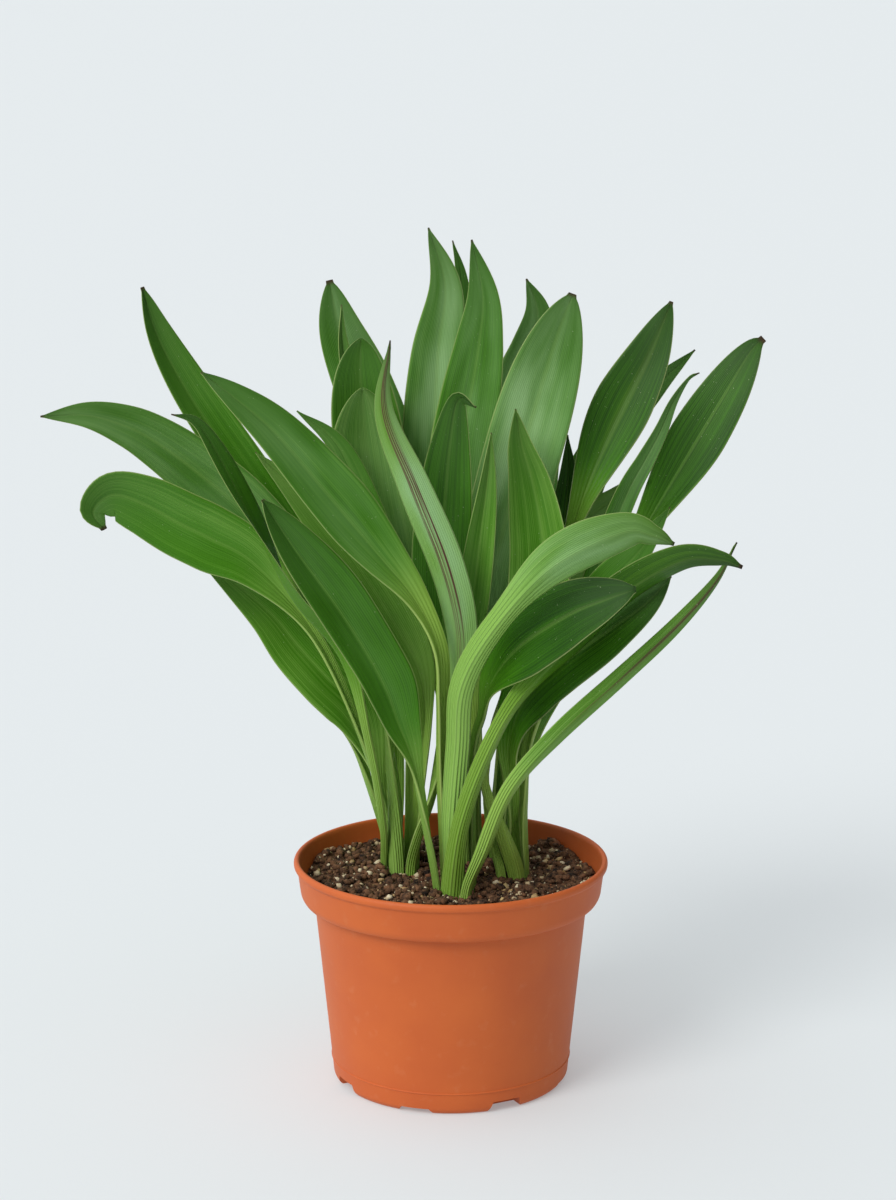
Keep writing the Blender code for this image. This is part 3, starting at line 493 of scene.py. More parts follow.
# name, shoot, angle and distance of the foot from the middle of the shoot, midrib points in mm,
# widths of foot, neck and blade, share of the length that is stalk, face of the blade low down,
# face of the tip, fold (0 flat to 1 folded), tip roundness
LEAVES = [
    ("leaf_front_left", CENTRE, 205, 11.0,
     [(-14, -25, 151), (-20, -27, 184), (-27, -30, 206), (-33, -33, 225), (-44, -36, 247),
      (-60, -42, 274), (-79, -48, 302), (-96, -50, 328)],
     (6, 8, 34), 0.32, (0.45, -0.75, 0.5), (0.3, -0.8, 0.5), 0.4, 0.5),
    ("leaf_front_left_high", CENTRE, 165, 6.0,
     [(-5.5, -18, 177), (-5.5, -27, 217), (-7, -34, 247), (-19, -39.5, 275), (-38, -46, 301),
      (-64, -56, 335), (-88, -64, 365), (-108, -66, 383), (-125, -62, 395)],
     (6, 12.5, 37), 0.5, (0.4, -0.75, 0.5), (0.3, -0.7, 0.65), 0.2, 0.35),
    ("leaf_front_twisted", CENTRE, 20, 4.5,
     [(4, -18, 182), (5, -22, 221), (5, -27, 255), (-3, -34, 291), (-19, -38, 333), (-34, -36, 372),
      (-31, -30, 407)],
     (6, 8, 20), 0.34, (0.3, 0.9, 0.2), (-0.2, 0.9, 0.1), 0.3, 0.05),
    ("leaf_front_arching", CENTRE, 246, 5.2,
     [(0, -28, 147), (3, -33, 192), (6, -43, 229), (23, -58, 264), (51, -76, 299), (85, -94, 320),
      (100, -99, 319), (110, -101, 315)],
     (7, 14, 32), 0.65, (-0.1, 0.9, 0.3), (-0.3, 0.85, 0.4), 0.2, 0.5),
    ("leaf_right_hooked", CENTRE, 262, 10.6,
     [(5, -35, 150), (17, -38, 187), (33, -38, 218), (56, -38, 244), (87, -43, 277), (117, -47, 296),
      (138, -49, 297), (149, -51, 293)],
     (13, 10, 24), 0.45, (-0.4, 0.8, 0.4), (-0.3, 0.75, 0.55), 0.3, 0.55),
    ("leaf_right_duckbill", CENTRE, 5, 10.0,
     [(12, -19, 183), (17, -22, 208), (21, -28, 227), (35, -45, 250), (60, -62, 271), (79, -71, 281),
      (93, -76, 287)],
     (6, 7, 38), 0.5, (-0.3, -0.85, 0.45), (-0.2, -0.75, 0.6), 0.1, 0.7),
    ("leaf_right_strap", CENTRE, 299, 14.0,
     [(17, -35, 136), (31, -37, 171), (56, -38, 201), (88, -38, 231), (118, -33, 259), (138, -27, 281),
      (149, -20, 300)],
     (7, 10, 13), 0.3, (-0.35, 0.9, 0.35), (-0.45, 0.8, 0.4), 0.25, 0.15),
    ("leaf_centre_rolled", CENTRE, 70, 9.0,
     [(6, -9, 211), (10, -12, 255), (15, -14, 298), (19, -12, 330), (21, -8, 356)],
     (5, 6, 20), 0.45, (0.0, -1.0, 0.1), (0.2, -1.0, 0.1), 0.6, 0.15),

    ("leaf_left_strap", LEFT, 191, 9.4,
     [(-37, 6, 139), (-44, -4, 186), (-57, -9, 235), (-82, -17, 270), (-105, -22, 317), (-122, -22, 350),
      (-132, -22, 364), (-144, -24, 368)],
     (6.5, 8, 27), 0.36, (0.8, 0.45, 0.4), (0.8, -0.5, 0.3), 0.2, 0.05),
    ("leaf_left_long", LEFT, 100, 4.2,
     [(-33, 33, 150), (-55, 43, 210), (-86, 43, 269), (-112, 39, 305), (-137, 32, 329), (-156, 25, 345),
      (-172, 19, 355), (-192, 12, 362), (-216, 8, 362)],
     (5.5, 7, 36), 0.34, (0.3, -0.9, 0.3), (0.1, -0.9, 0.4), 0.15, 0.2),
    ("leaf_left_curled", LEFT, 190, 4.2,
     [(-37, 15, 150), (-57, 8, 211), (-76, 2, 251), (-104, -1, 285), (-127, -4, 299), (-142, -6, 307),
      (-161, -8, 318), (-177, -9, 323), (-187, -12, 315), (-181, -16, 306)],
     (5.5, 7, 36), 0.53, (0.3, -0.95, 0.2), (0.45, -0.65, 0.6), 0.15, 0.7),
    ("leaf_left_low", LEFT, 147, 9.0,
     [(-38, 22, 150), (-43, 22, 177), (-52, 22, 201), (-67, 20, 218), (-82, 21, 235), (-96, 23, 252),
      (-116, 27, 268), (-136, 31, 281)],
     (6, 7, 36), 0.3, (0.3, -0.85, 0.45), (0.3, -0.8, 0.5), 0.2, 0.05),
    ("leaf_left_tall", LEFT, 102, 9.0,
     [(-32, 42, 152), (-46, 55, 206), (-71, 59, 258), (-103, 60, 308), (-132, 59, 352), (-148, 58, 379),
      (-159, 57, 402), (-166, 55, 425)],
     (6, 8, 29), 0.36, (0.4, -0.85, 0.2), (0.5, -0.8, 0.2), 0.5, 0.55),
    ("leaf_left_shaded", LEFT, 15, 9.0,
     [(-18, 17, 140), (-16, 8, 172), (-14, 0, 205), (-18, -7, 232), (-31, -12, 258), (-53, -14, 293),
      (-79, -14, 324), (-102, -10, 346)],
     (6.5, 8, 31), 0.4, (0.3, -0.85, 0.4), (0.3, -0.85, 0.4), 0.2, 0.05),
    ("leaf_left_broad", LEFT, 254, 9.0,
     [(-32, 8, 150), (-34, 8, 200), (-34, 16, 240), (-34, 22, 276), (-41, 23, 315), (-45, 23, 347),
      (-47, 24, 375)],
     (9, 10, 47), 0.42, (0.15, -1.0, 0.1), (0.1, -1.0, 0.15), 0.2, 0.8),
    ("leaf_left_crossing", LEFT, 319, 9.0,
     [(-17, 9, 132), (-9, 8, 158), (-2, 6, 198), (-3, 1, 240), (-5, -3, 288), (-3, -4, 320),
      (0, -5, 352), (4, -6, 373), (13, -13, 370)],
     (9, 9, 32), 0.38, (0.05, -1.0, 0.1), (-0.65, -0.6, -0.4), 0.2, 0.25),
    ("leaf_left_small", LEFT, 60, 9.0,
     [(-22, 24, 150), (-22, 14, 200), (-28, 5, 240), (-35, 3, 275), (-44, 4, 309), (-59, 6, 346),
      (-81, 8, 365)],
     (5.5, 6, 22), 0.45, (0.2, -0.95, 0.2), (0.2, -0.9, 0.2), 0.2, 0.15),

    ("leaf_right_drooping", RIGHT, 210, 6.0,
     [(33, 5, 148), (31, -2, 184), (38, -12, 212), (57, -26, 236), (82, -33, 256), (101, -36, 271),
      (114, -34, 285)],
     (6, 9, 33), 0.36, (-0.3, -0.8, 0.55), (-0.3, -0.8, 0.5), 0.15, 0.3),
    ("leaf_right_tall", RIGHT, 49, 9.0,
     [(36, 18, 150), (44, 17, 197), (57, 19, 244), (63, 28, 286), (71, 34, 313), (82, 41, 339),
      (94, 48, 363), (107, 54, 388), (119, 58, 417)],
     (7, 8, 38), 0.62, (-0.3, -0.95, 0.1), (-0.3, -0.95, 0.2), 0.3, 0.5),
    ("leaf_right_grey", RIGHT, 99, 9.0,
     [(34, 24, 150), (44, 24, 189), (56, 23, 219), (78, 22, 276), (94, 24, 317), (104, 28, 335),
      (112, 31, 350), (119, 34, 366), (127, 36, 378), (133, 38, 381)],
     (6, 7, 15), 0.5, (-0.2, -0.9, 0.3), (0.4, -0.8, 0.2), 0.4, 0.0),
    ("leaf_right_pale", RIGHT, 358, 9.0,
     [(40, 8, 150), (44, 5, 195), (65, 2, 238), (82, -2, 271), (100, -4, 293), (115, -6, 316)],
     (6, 8, 26), 0.45, (-0.3, -0.85, 0.4), (-0.3, -0.85, 0.4), 0.2, 0.15),
    ("leaf_right_blunt", RIGHT, 293, 9.8,
     [(28, -4.5, 139), (17, -4, 172), (14, 5, 215), (18, 14, 255), (27, 21, 295), (36, 25, 332),
      (46, 31, 367), (57, 38, 401), (65, 42, 423)],
     (10.5, 10, 42), 0.34, (-0.05, -1.0, 0.1), (0.1, -1.0, 0.2), 0.2, 0.75),
    ("leaf_right_folded", RIGHT, 245, 12.4,
     [(22, 2, 132), (19, 6, 156), (22, 8, 190), (35, 1, 227), (46, -6, 261), (48, -4, 287), (46, 0, 308),
      (42, 4, 329), (37, 6, 347), (34, 8, 366)],
     (6, 6, 38), 0.45, (-0.25, -0.95, 0.05), (-0.2, -0.95, 0.1), 0.6, 0.2),

    ("leaf_mid_tallest", BACK_MID, 205, 8.5,
     [(0, 38, 150), (-4, 43, 199), (-10, 47, 260), (-9, 49, 298), (-9, 50, 343), (-7, 51, 389),
      (-3, 52, 426), (-12, 53, 457)],
     (6, 8, 36), 0.36, (0.0, -1.0, 0.1), (0.0, -1.0, 0.1), 0.25, 0.2),
    ("leaf_mid_tall", BACK_MID, 270, 8.5,
     [(7, 30, 150), (6, 31, 192), (4, 31, 247), (3, 31, 302), (6, 31, 340), (10, 32, 366), (15, 33, 397),
      (17, 35, 423), (11, 38, 452)],
     (6, 8, 36), 0.36, (0.0, -1.0, 0.1), (0.0, -1.0, 0.1), 0.2, 0.2),
    ("leaf_mid_thin", BACK_MID, 148, 8.5,
     [(2, 49, 150), (0, 63, 222), (1, 72, 306), (5, 75, 378), (6, 76, 424), (1, 77, 448)],
     (6, 8, 24), 0.4, (0.0, -1.0, 0.1), (0.0, -1.0, 0.1), 0.3, 0.05),
    ("leaf_mid_right", BACK_MID, 15, 8.5,
     [(15, 43, 150), (16, 50, 244), (26, 56, 306), (38, 62, 365), (45, 66, 392), (47, 68, 411),
      (41, 70, 428)],
     (6, 8, 42), 0.38, (0.0, -1.0, 0.1), (0.0, -1.0, 0.1), 0.2, 0.2),

    ("leaf_back_left_browned", BACK_LEFT, 50, 9.0,
     [(-20, 56, 150), (-18, 60, 207), (-24, 64, 275), (-36, 67, 335), (-47, 69, 368), (-60, 71, 400),
      (-66, 72, 427)],
     (6, 8, 34), 0.36, (0.1, -1.0, 0.1), (0.1, -1.0, 0.1), 0.15, 0.7),
    ("leaf_back_left_folded", BACK_LEFT, 355, 9.0,
     [(-19, 47, 150), (-23, 51, 240), (-38, 53, 304), (-50, 56, 353), (-58, 58, 391), (-59, 60, 415)],
     (6, 7, 20), 0.4, (0.3, -0.95, 0.1), (0.3, -0.95, 0.1), 0.6, 0.05),
    ("leaf_back_left_round", BACK_LEFT, 300, 9.0,
     [(-21, 38, 150), (-24, 36, 238), (-34, 34, 295), (-43, 35, 338), (-48, 38, 374), (-48, 42, 399)],
     (6, 8, 40), 0.38, (0.1, -1.0, 0.1), (0.1, -1.0, 0.1), 0.3, 0.9),
    ("leaf_back_left_low", BACK_LEFT, 215, 9.0,
     [(-44, 40, 148), (-62, 54, 194), (-86, 70, 234), (-106, 83, 258), (-122, 92, 267)],
     (6, 8, 30), 0.36, (0.5, -0.5, 0.8), (0.4, -0.3, 0.9), 0.2, 0.05),
    ("leaf_back_left_arching", BACK_LEFT, 160, 9.0,
     [(-40, 58, 150), (-48, 82, 208), (-60, 106, 262), (-70, 128, 300), (-80, 148, 316)],
     (6, 8, 32), 0.36, (0.3, -0.6, 0.7), (0.3, -0.4, 0.9), 0.2, 0.1),
    ("leaf_back_left_upright", BACK_LEFT, 105, 9.0,
     [(-30, 62, 160), (-34, 84, 230), (-38, 108, 290), (-39, 130, 330), (-36, 148, 345)],
     (6, 8, 33), 0.36, (0.2, -0.9, 0.3), (0.1, -0.6, 0.8), 0.2, 0.1),
    ("leaf_back_mid_arching", BACK_MID, 80, 8.5,
     [(12, 58, 160), (7, 82, 246), (3, 106, 315), (0, 130, 350), (-4, 152, 350)],
     (6, 8, 33), 0.36, (0.0, -0.9, 0.4), (0.0, -0.3, 1.0), 0.2, 0.1),

    ("leaf_back_right_far", BACK_RIGHT, 345, 9.0,
     [(38, 40, 150), (44, 42, 187), (57, 42, 214), (85, 44, 256), (105, 47, 294), (126, 53, 329),
      (148, 60, 365), (163, 65, 389), (170, 66, 396)],
     (6, 8, 33), 0.6, (-0.3, -0.9, 0.3), (-0.3, -0.9, 0.3), 0.2, 0.75),
    ("leaf_back_right_high", BACK_RIGHT, 30, 9.0,
     [(38, 49, 150), (45, 53, 194), (57, 59, 235), (66, 65, 290), (81, 71, 331), (112, 76, 367),
      (134, 80, 388)],
     (6, 8, 25), 0.42, (-0.3, -0.9, 0.2), (-0.3, -0.9, 0.3), 0.25, 0.2),
    ("leaf_back_right_dark", BACK_RIGHT, 285, 9.0,
     [(36, 30, 150), (43, 31, 189), (52, 34, 220), (58, 42, 250), (72, 46, 294), (90, 47, 312),
      (106, 46, 326)],
     (6, 8, 27), 0.42, (-0.3, -0.9, 0.2), (-0.3, -0.9, 0.2), 0.25, 0.05),
    ("leaf_back_right_narrow", BACK_RIGHT, 180, 9.0,
     [(25, 42, 150), (32, 47, 200), (44, 52, 236), (58, 57, 270), (64, 62, 313), (64, 66, 343)],
     (6, 7, 23), 0.4, (-0.1, -1.0, 0.1), (-0.1, -1.0, 0.1), 0.25, 0.1),
    ("leaf_back_right_upright", BACK_RIGHT, 128, 9.0,
     [(29, 56, 160), (39, 74, 230), (46, 98, 290), (56, 120, 322), (63, 138, 326)],
     (6, 8, 32), 0.36, (-0.2, -0.9, 0.3), (-0.1, -0.4, 0.9), 0.2, 0.1),
    ("leaf_back_right_arching", BACK_RIGHT, 78, 9.0,
     [(40, 58, 150), (56, 78, 198), (77, 100, 236), (95, 118, 254), (110, 132, 252)],
     (6, 8, 30), 0.36, (-0.4, -0.5, 0.8), (-0.3, -0.2, 1.0), 0.2, 0.05),
]
print(len(LEAVES), "leaves")

# %% [markdown]
# Five looks differ from leaf to leaf: how light its green is, a lightness that holds painted light and
# shade as well as the leaf's own green, how far its tip has dried, how yellow its stalk is, how much
# of the brown-purple flush shows beside its midrib, and how much pale sheen is painted on the blade.

# %% Looks of single leaves
# name: lightness (0.5 is usual; painted light and shade as well as own green), dry tip, yellow stalk,
# purple flush, painted sheen
LOOKS = {
    "leaf_front_left": (0.44, 0.1, 0.3, 0.0, 0.2),
    "leaf_front_left_high": (0.50, 0.1, 0.9, 0.0, 0.4),
    "leaf_front_twisted": (0.80, 0.6, 0.5, 2.0, 2.1),
    "leaf_front_arching": (0.58, 0.2, 0.1, 0.0, 1.4),
    "leaf_right_hooked": (0.26, 0.8, 0.5, 0.1, 0.0),
    "leaf_right_duckbill": (0.25, -0.6, 0.2, 0.0, 0.0),
    "leaf_right_strap": (0.58, 0.3, 0.6, 1.0, 0.2),
    "leaf_centre_rolled": (0.68, 0.1, 0.9, 0.0, 0.2),
    "leaf_left_strap": (0.40, 0.8, 0.5, 0.0, 0.0),
    "leaf_left_curled": (0.55, 0.5, 0.3, 0.0, 0.1),
    "leaf_left_low": (0.62, 0.2, 0.2, 0.0, 0.0),
    "leaf_left_long": (0.57, 0.5, 0.2, 0.0, 0.8),
    "leaf_left_tall": (0.54, 0.4, 0.2, 0.1, 0.1),
    "leaf_left_shaded": (0.72, 0.1, 0.5, 0.0, 0.0),
    "leaf_left_broad": (0.66, -1.0, 0.3, 0.0, 0.5),
    "leaf_left_crossing": (0.38, 0.1, 0.5, 0.1, 0.1),
    "leaf_left_small": (0.56, 0.0, 0.4, 0.0, 0.3),
    "leaf_right_drooping": (0.30, 0.2, 0.3, 0.3, 0.0),
    "leaf_right_tall": (0.28, 0.4, 0.5, 0.4, 0.0),
    "leaf_right_grey": (0.34, 0.8, 0.3, 0.2, 0.45),
    "leaf_right_pale": (0.52, 0.2, 0.6, 0.0, 0.2),
    "leaf_right_blunt": (0.56, 0.4, 1.0, 0.1, 1.6),
    "leaf_right_folded": (0.62, 0.0, 0.8, 0.1, 0.1),
    "leaf_back_left_browned": (0.54, 0.6, 0.2, 0.0, 1.3),
    "leaf_back_left_round": (0.48, -1.0, 0.3, 0.0, 0.0),
    "leaf_back_left_folded": (0.60, 0.2, 0.3, 0.0, 0.4),
    "leaf_back_right_far": (0.31, 0.8, 0.3, 0.1, 0.0),
    # lightness raised to make up for the shade this leaf stands in: painted light
    "leaf_back_right_dark": (0.95, 0.4, 0.3, 0.0, 0.8),
    "leaf_back_right_narrow": (0.30, 0.2, 0.3, 0.0, 0.0),
    "leaf_mid_tallest": (0.60, 0.3, 0.3, 0.0, 1.4),
    "leaf_mid_tall": (0.50, 0.4, 0.3, 0.0, 0.7),
    "leaf_mid_thin": (0.44, 0.5, 0.3, 0.0, 0.2),
    "leaf_mid_right": (0.50, 0.4, 0.3, 0.1, 1.4),
}
USUAL_LOOK = (0.46, 0.4, 0.3, 0.1, 0.2)
print(len(LOOKS), "leaves have a look of their own")

# %% [markdown]
# The midrib runs as a smooth curve through its points. Walking along it at given shares of its length
# gives each station of the leaf a place and a direction.

# %% Midrib
def smooth_step(low, high, value):
    t = min(1.0, max(0.0, (value - low) / (high - low)))
    return t * t * (3.0 - 2.0 * t)


def curve_through(points, stations):
    """Places and directions at shares of the length of a smooth curve, and its length."""
    ends = [points[0] * 2 - points[1]] + points + [points[-1] * 2 - points[-2]]
    dense = []
    for a, b, c, d in zip(ends, ends[1:], ends[2:], ends[3:]):
        for k in range(24):
            t = k / 24.0
            dense.append(0.5 * ((2 * b) + (c - a) * t + (2 * a - 5 * b + 4 * c - d) * t * t
                                + (3 * b - a - 3 * c + d) * t * t * t))
    dense.append(points[-1])
    lengths = [0.0]
    for a, b in zip(dense, dense[1:]):
        lengths.append(lengths[-1] + (b - a).length)
    places = []
    for station in stations:
        want = lengths[-1] * station
        i = max(1, next(n for n, far in enumerate(lengths) if far >= want - 1e-9))
        share = (want - lengths[i - 1]) / max(1e-9, lengths[i] - lengths[i - 1])
        places.append(dense[i - 1].lerp(dense[i], min(1.0, max(0.0, share))))
    neighbours = zip(places[:1] + places[:-1], places[1:] + places[-1:])
    ways = [(after - before).normalized() for before, after in neighbours]
    return places, ways, lengths[-1]


print("half way up a step:", smooth_step(0.0, 1.0, 0.5))

# %% [markdown]
# The leaf's outline is its half width at each share of its length: the stalk widens a little, the blade
# swells out of it and then tapers to the tip. The way that the leaf faces is carried up the midrib
# without twisting, and then turned evenly, because a real leaf turns all along its stalk.

# %% Outline and facing
def half_width(s, widths, share, roundness):
    """Half the leaf's width in millimetres at a share s of its length."""
    foot, neck, blade = widths
    stalk = foot + (neck - foot) * smooth_step(0.04, 0.2, s)
    swell = smooth_step(share - 0.05, share + 0.22, s)
    wide = (stalk + (blade - neck) * swell) / 2.0
    start = 0.60 + 0.18 * roundness
    past = min(1.0, max(0.0, (s - start) / (1.0 - start)))
    taper = (1.0 - past ** (2.0 + roundness)) ** (1.0 - 0.4 * roundness)
    closing = 0.7 if roundness > 0.78 else 0.7 * (1.0 - roundness)
    blunt = (0.9 + 3.0 * roundness * roundness) * (1.0 - closing * smooth_step(0.985, 1.0, s))
    return max(blunt, wide * taper)


def facing_turns(ways, stations, foot_face, blade_face, tip_face, share):
    """Way that the upper face looks at each station."""
    carried = [foot_face]
    for way in ways[1:]:
        flat = carried[-1] - way * carried[-1].dot(way)
        carried.append(flat.normalized())

    def turn_to(face, k):
        flat = (face - ways[k] * face.dot(ways[k])).normalized()
        return math.atan2(ways[k].dot(carried[k].cross(flat)), carried[k].dot(flat))

    middle = min(range(len(stations)), key=lambda k: abs(stations[k] - share - 0.15))
    blade_turn = turn_to(blade_face, middle)
    tip_turn = turn_to(tip_face, len(stations) - 1)
    tip_turn += 2.0 * math.pi * round((blade_turn - tip_turn) / (2.0 * math.pi))
    faces = []
    for s, way, base in zip(stations, ways, carried):
        angle = blade_turn * smooth_step(0.02, share + 0.12, s)
        angle += (tip_turn - blade_turn) * smooth_step(share + 0.15, 1.0, s)
        faces.append(base * math.cos(angle) + way.cross(base) * math.sin(angle))
    return faces


print("half width of a 34 mm blade far up:", round(half_width(0.7, (6, 8, 34), 0.36, 0.1), 1), "mm")

# %% [markdown]
# The upper side of a ti leaf is satin: a waxy skin over fine veins that run side by side into the tip.
# Each point says how far across and how far along the leaf it lies, and the finish reads that, so its
# streaks follow the veins however the leaf bends. Two noises are drawn out along the veins: fine streaks
# about a millimetre wide, and slow patches a few centimetres wide.

# %% What a leaf finish reads
# cycles per millimetre across and along the leaf, and detail
FINE_STREAKS = (0.80, 0.006, 4.0)
SLOW_PATCHES = (0.05, 0.012, 2.0)
RIB_TURNS = 26.0


def vein_streaks(tree, spot, across_per_mm, along_per_mm, detail):
    """Noise drawn out along the veins, in cycles per millimetre across and along the leaf."""
    drawn = add(tree, "VectorMath", {0: spot, 1: (across_per_mm, along_per_mm, 1.0)},
                operation="MULTIPLY")
    return add(tree, "TexNoise", {"Vector": drawn, "Scale": 1.0, "Detail": detail, "Roughness": 0.6})


def leaf_readings(tree):
    """What the layers of a leaf's colour read: its measures, its own look and the two noises."""
    read = {}
    for name in ("spot_mm", "measure", "look"):
        read[name] = add(tree, "Attribute", attribute_name=name).outputs["Vector"]
    # the painted sheen is read beside the flush
    for name in ("flush", "painted_sheen"):
        read[name] = add(tree, "Attribute", attribute_name=name).outputs["Fac"]
    across, read["share"], read["grown"] = add(tree, "SeparateXYZ", {0: read["measure"]}).outputs
    read["tone"], read["dry"], read["yellow"] = add(tree, "SeparateXYZ", {0: read["look"]}).outputs
    read["side"] = add(tree, "Math", {0: across}, operation="ABSOLUTE")
    turned = add(tree, "Math", {0: across, 1: RIB_TURNS}, operation="MULTIPLY")
    read["ribs"] = add(tree, "Math", {0: turned}, operation="SINE")
    read["fine"] = vein_streaks(tree, read["spot_mm"], *FINE_STREAKS)
    read["slow"] = vein_streaks(tree, read["spot_mm"], *SLOW_PATCHES)
    return read


print("fine streaks lie", round(1.0 / FINE_STREAKS[0], 2), "mm apart")

# %% [markdown]
# The living part of the colour comes first. Three greens follow the streaks, the patches and the leaf's
# lightness, which holds painted light and shade as well as its own green. Over them lie a painted sheen,
# pale and in patches, a hardly paler midrib, and pale lines down the channelled stalk.

# %% Living colours
# pale green of the painted sheen, a highlight painted into the colour
PAINTED_SHEEN_COLOUR = "91BB7C"
STALK_LINE = "A9C877"


def leaf_green(tree, read, colours):
    """Three greens by streaks, patches, stalk and a lightness that holds painted light and shade."""
    patches = add(tree, "Math", {0: read["slow"], 1: 0.36, 2: -0.49}, operation="MULTIPLY_ADD")
    veined = add(tree, "Math", {0: read["fine"], 1: 0.56, 2: patches}, operation="MULTIPLY_ADD")
    # the leaf's lightness adds painted light and shade to its own green
    blade = add(tree, "Math", {0: veined, 1: read["tone"]}, operation="ADD")
    stalk = add(tree, "Math", {0: read["grown"], 1: -0.38, 2: 0.38}, operation="MULTIPLY_ADD")
    level = add(tree, "Math", {0: blade, 1: stalk}, operation="ADD")
    low = add(tree, "MapRange", rise(level, 0.10, 0.52), **SMOOTH)
    high = add(tree, "MapRange", rise(level, 0.45, 0.95), **SMOOTH)
    dark, middle, light = [linear(colour) for colour in colours]
    base = add(tree, "Mix", {0: low, 6: dark, 7: middle}, data_type="RGBA")
    return add(tree, "Mix", {0: high, 6: base, 7: light}, data_type="RGBA")


def with_painted_sheen(tree, read, under):
    """Painted sheen: a pale highlight painted in patches, as much as each leaf is given."""
    patch = add(tree, "MapRange", rise(read["slow"], 0.20, 0.80), **SMOOTH)
    painted_sheen_level = add(tree, "Math", {0: patch, 1: read["painted_sheen"]}, operation="MULTIPLY")
    return add(tree, "Mix", {0: painted_sheen_level, 6: under, 7: linear(PAINTED_SHEEN_COLOUR)}, data_type="RGBA")


def with_ribs(tree, read, under, rib_colour):
    """The midrib's colour along the middle, and pale lines on the ribs of the lower stalk."""
    narrow = add(tree, "MapRange", rise(read["grown"], 0.75, 0.05, 0.20), **SMOOTH)
    near_soil = add(tree, "MapRange", rise(read["share"], 0.62, 0.30), **SMOOTH)
    stalk = add(tree, "Math", {0: narrow, 1: near_soil}, operation="MULTIPLY")
    lines = add(tree, "MapRange", rise(read["ribs"], 0.1, 1.0), **SMOOTH)
    lined = add(tree, "Math", {0: stalk, 1: lines}, operation="MULTIPLY")
    midrib = add(tree, "MapRange", rise(read["side"], 0.10, 0.02, 0.16), **SMOOTH)
    ribbed = add(tree, "Mix", {0: midrib, 6: under, 7: linear(rib_colour)}, data_type="RGBA")
    return add(tree, "Mix", {0: lined, 6: ribbed, 7: linear(STALK_LINE)}, data_type="RGBA")


print("living colours ready")

# %% [markdown]
# Age and edges come over the green. A leaf gets duller towards its tip, and some keep a brown-purple
# flush in streaks beside the midrib. Low down the stalk is yellow. The margin is a thin pale line. The
# tip is dry and brown for a few millimetres, with a ragged border, and pale specks lie here and there.

# %% Age and edges
DUSKY_END = "3C4E33"
BROWN_PURPLE = "5A3A33"
YELLOW_STALK = "9BBC48"
PALE_MARGIN = "B8C77E"
DRY_TIP = "4A3A2A"
PALE_SPECK = "C3D2A6"
# shares of the leaf's length: how far a look of 1 dries the tip, and how ragged the border is
DRIED = 0.008
RAGGED = 0.008


def with_age(tree, read, under, flush_share):
    """A duller end, and a flush in streaks beside the midrib."""
    old_end = add(tree, "MapRange", rise(read["share"], 0.74, 1.0, 0.38), **SMOOTH)
    dusky = add(tree, "Mix", {0: old_end, 6: under, 7: linear(DUSKY_END)}, data_type="RGBA")
    band = add(tree, "MapRange", rise(read["side"], 0.45, 0.05, flush_share), **SMOOTH)
    streak = add(tree, "MapRange", rise(read["fine"], 0.42, 0.62), **SMOOTH)
    part = add(tree, "Math", {0: band, 1: streak}, operation="MULTIPLY")
    purple = add(tree, "Math", {0: part, 1: read["flush"]}, operation="MULTIPLY")
    return add(tree, "Mix", {0: purple, 6: dusky, 7: linear(BROWN_PURPLE)}, data_type="RGBA")


def with_edges(tree, read, under):
    """A yellow stalk low down, a thin pale margin, a dry tip and pale specks."""
    slender = add(tree, "MapRange", rise(read["grown"], 0.75, 0.0, 0.6), **SMOOTH)
    low_down = add(tree, "Math", {0: slender, 1: read["yellow"]}, operation="MULTIPLY")
    stalked = add(tree, "Mix", {0: low_down, 6: under, 7: linear(YELLOW_STALK)}, data_type="RGBA")
    margin = add(tree, "MapRange", rise(read["side"], 0.955, 0.995, 0.42), **SMOOTH)
    edged = add(tree, "Mix", {0: margin, 6: stalked, 7: linear(PALE_MARGIN)}, data_type="RGBA")
    dried = add(tree, "Math", {0: read["dry"], 1: DRIED, 2: read["share"]}, operation="MULTIPLY_ADD")
    ragged = add(tree, "Math", {0: read["fine"], 1: RAGGED, 2: dried}, operation="MULTIPLY_ADD")
    brown = add(tree, "MapRange", rise(ragged, 0.998, 1.008), **SMOOTH)
    browned = add(tree, "Mix", {0: brown, 6: edged, 7: linear(DRY_TIP)}, data_type="RGBA")
    dots = add(tree, "TexNoise", {"Vector": read["spot_mm"], "Scale": 0.9, "Detail": 1.0})
    dot = add(tree, "MapRange", rise(dots, 0.76, 0.80, 0.5))
    return add(tree, "Mix", {0: dot, 6: browned, 7: linear(PALE_SPECK)}, data_type="RGBA")


print("age and edges ready")

# %% [markdown]
# The veins are raised as well as coloured. The upper and the lower side have the same layers with
# colours of their own. The underside is paler, duller and more ribbed, and shows more of the flush.

# %% Leaf finishes
def vein_bump(tree, read, rib_depth):
    """Raised veins 1.1 mm apart on the blade, and ribs on the stalk."""
    veins = add(tree, "TexWave", {"Vector": read["spot_mm"], "Scale": 0.285, "Distortion": 0.4,
                                  "Detail": 1.0},
                wave_type="BANDS", bands_direction="X", wave_profile="SIN")
    deep = add(tree, "Math", {0: read["ribs"], 1: 1.6}, operation="MULTIPLY")
    spread = add(tree, "Mix", {0: read["grown"], 2: deep, 3: veins.outputs["Fac"]}, data_type="FLOAT")
    height = add(tree, "Math", {0: read["fine"], 1: 0.8, 2: spread}, operation="MULTIPLY_ADD")
    return add(tree, "Bump", {"Height": height, "Distance": rib_depth * MM, "Strength": 1.0})


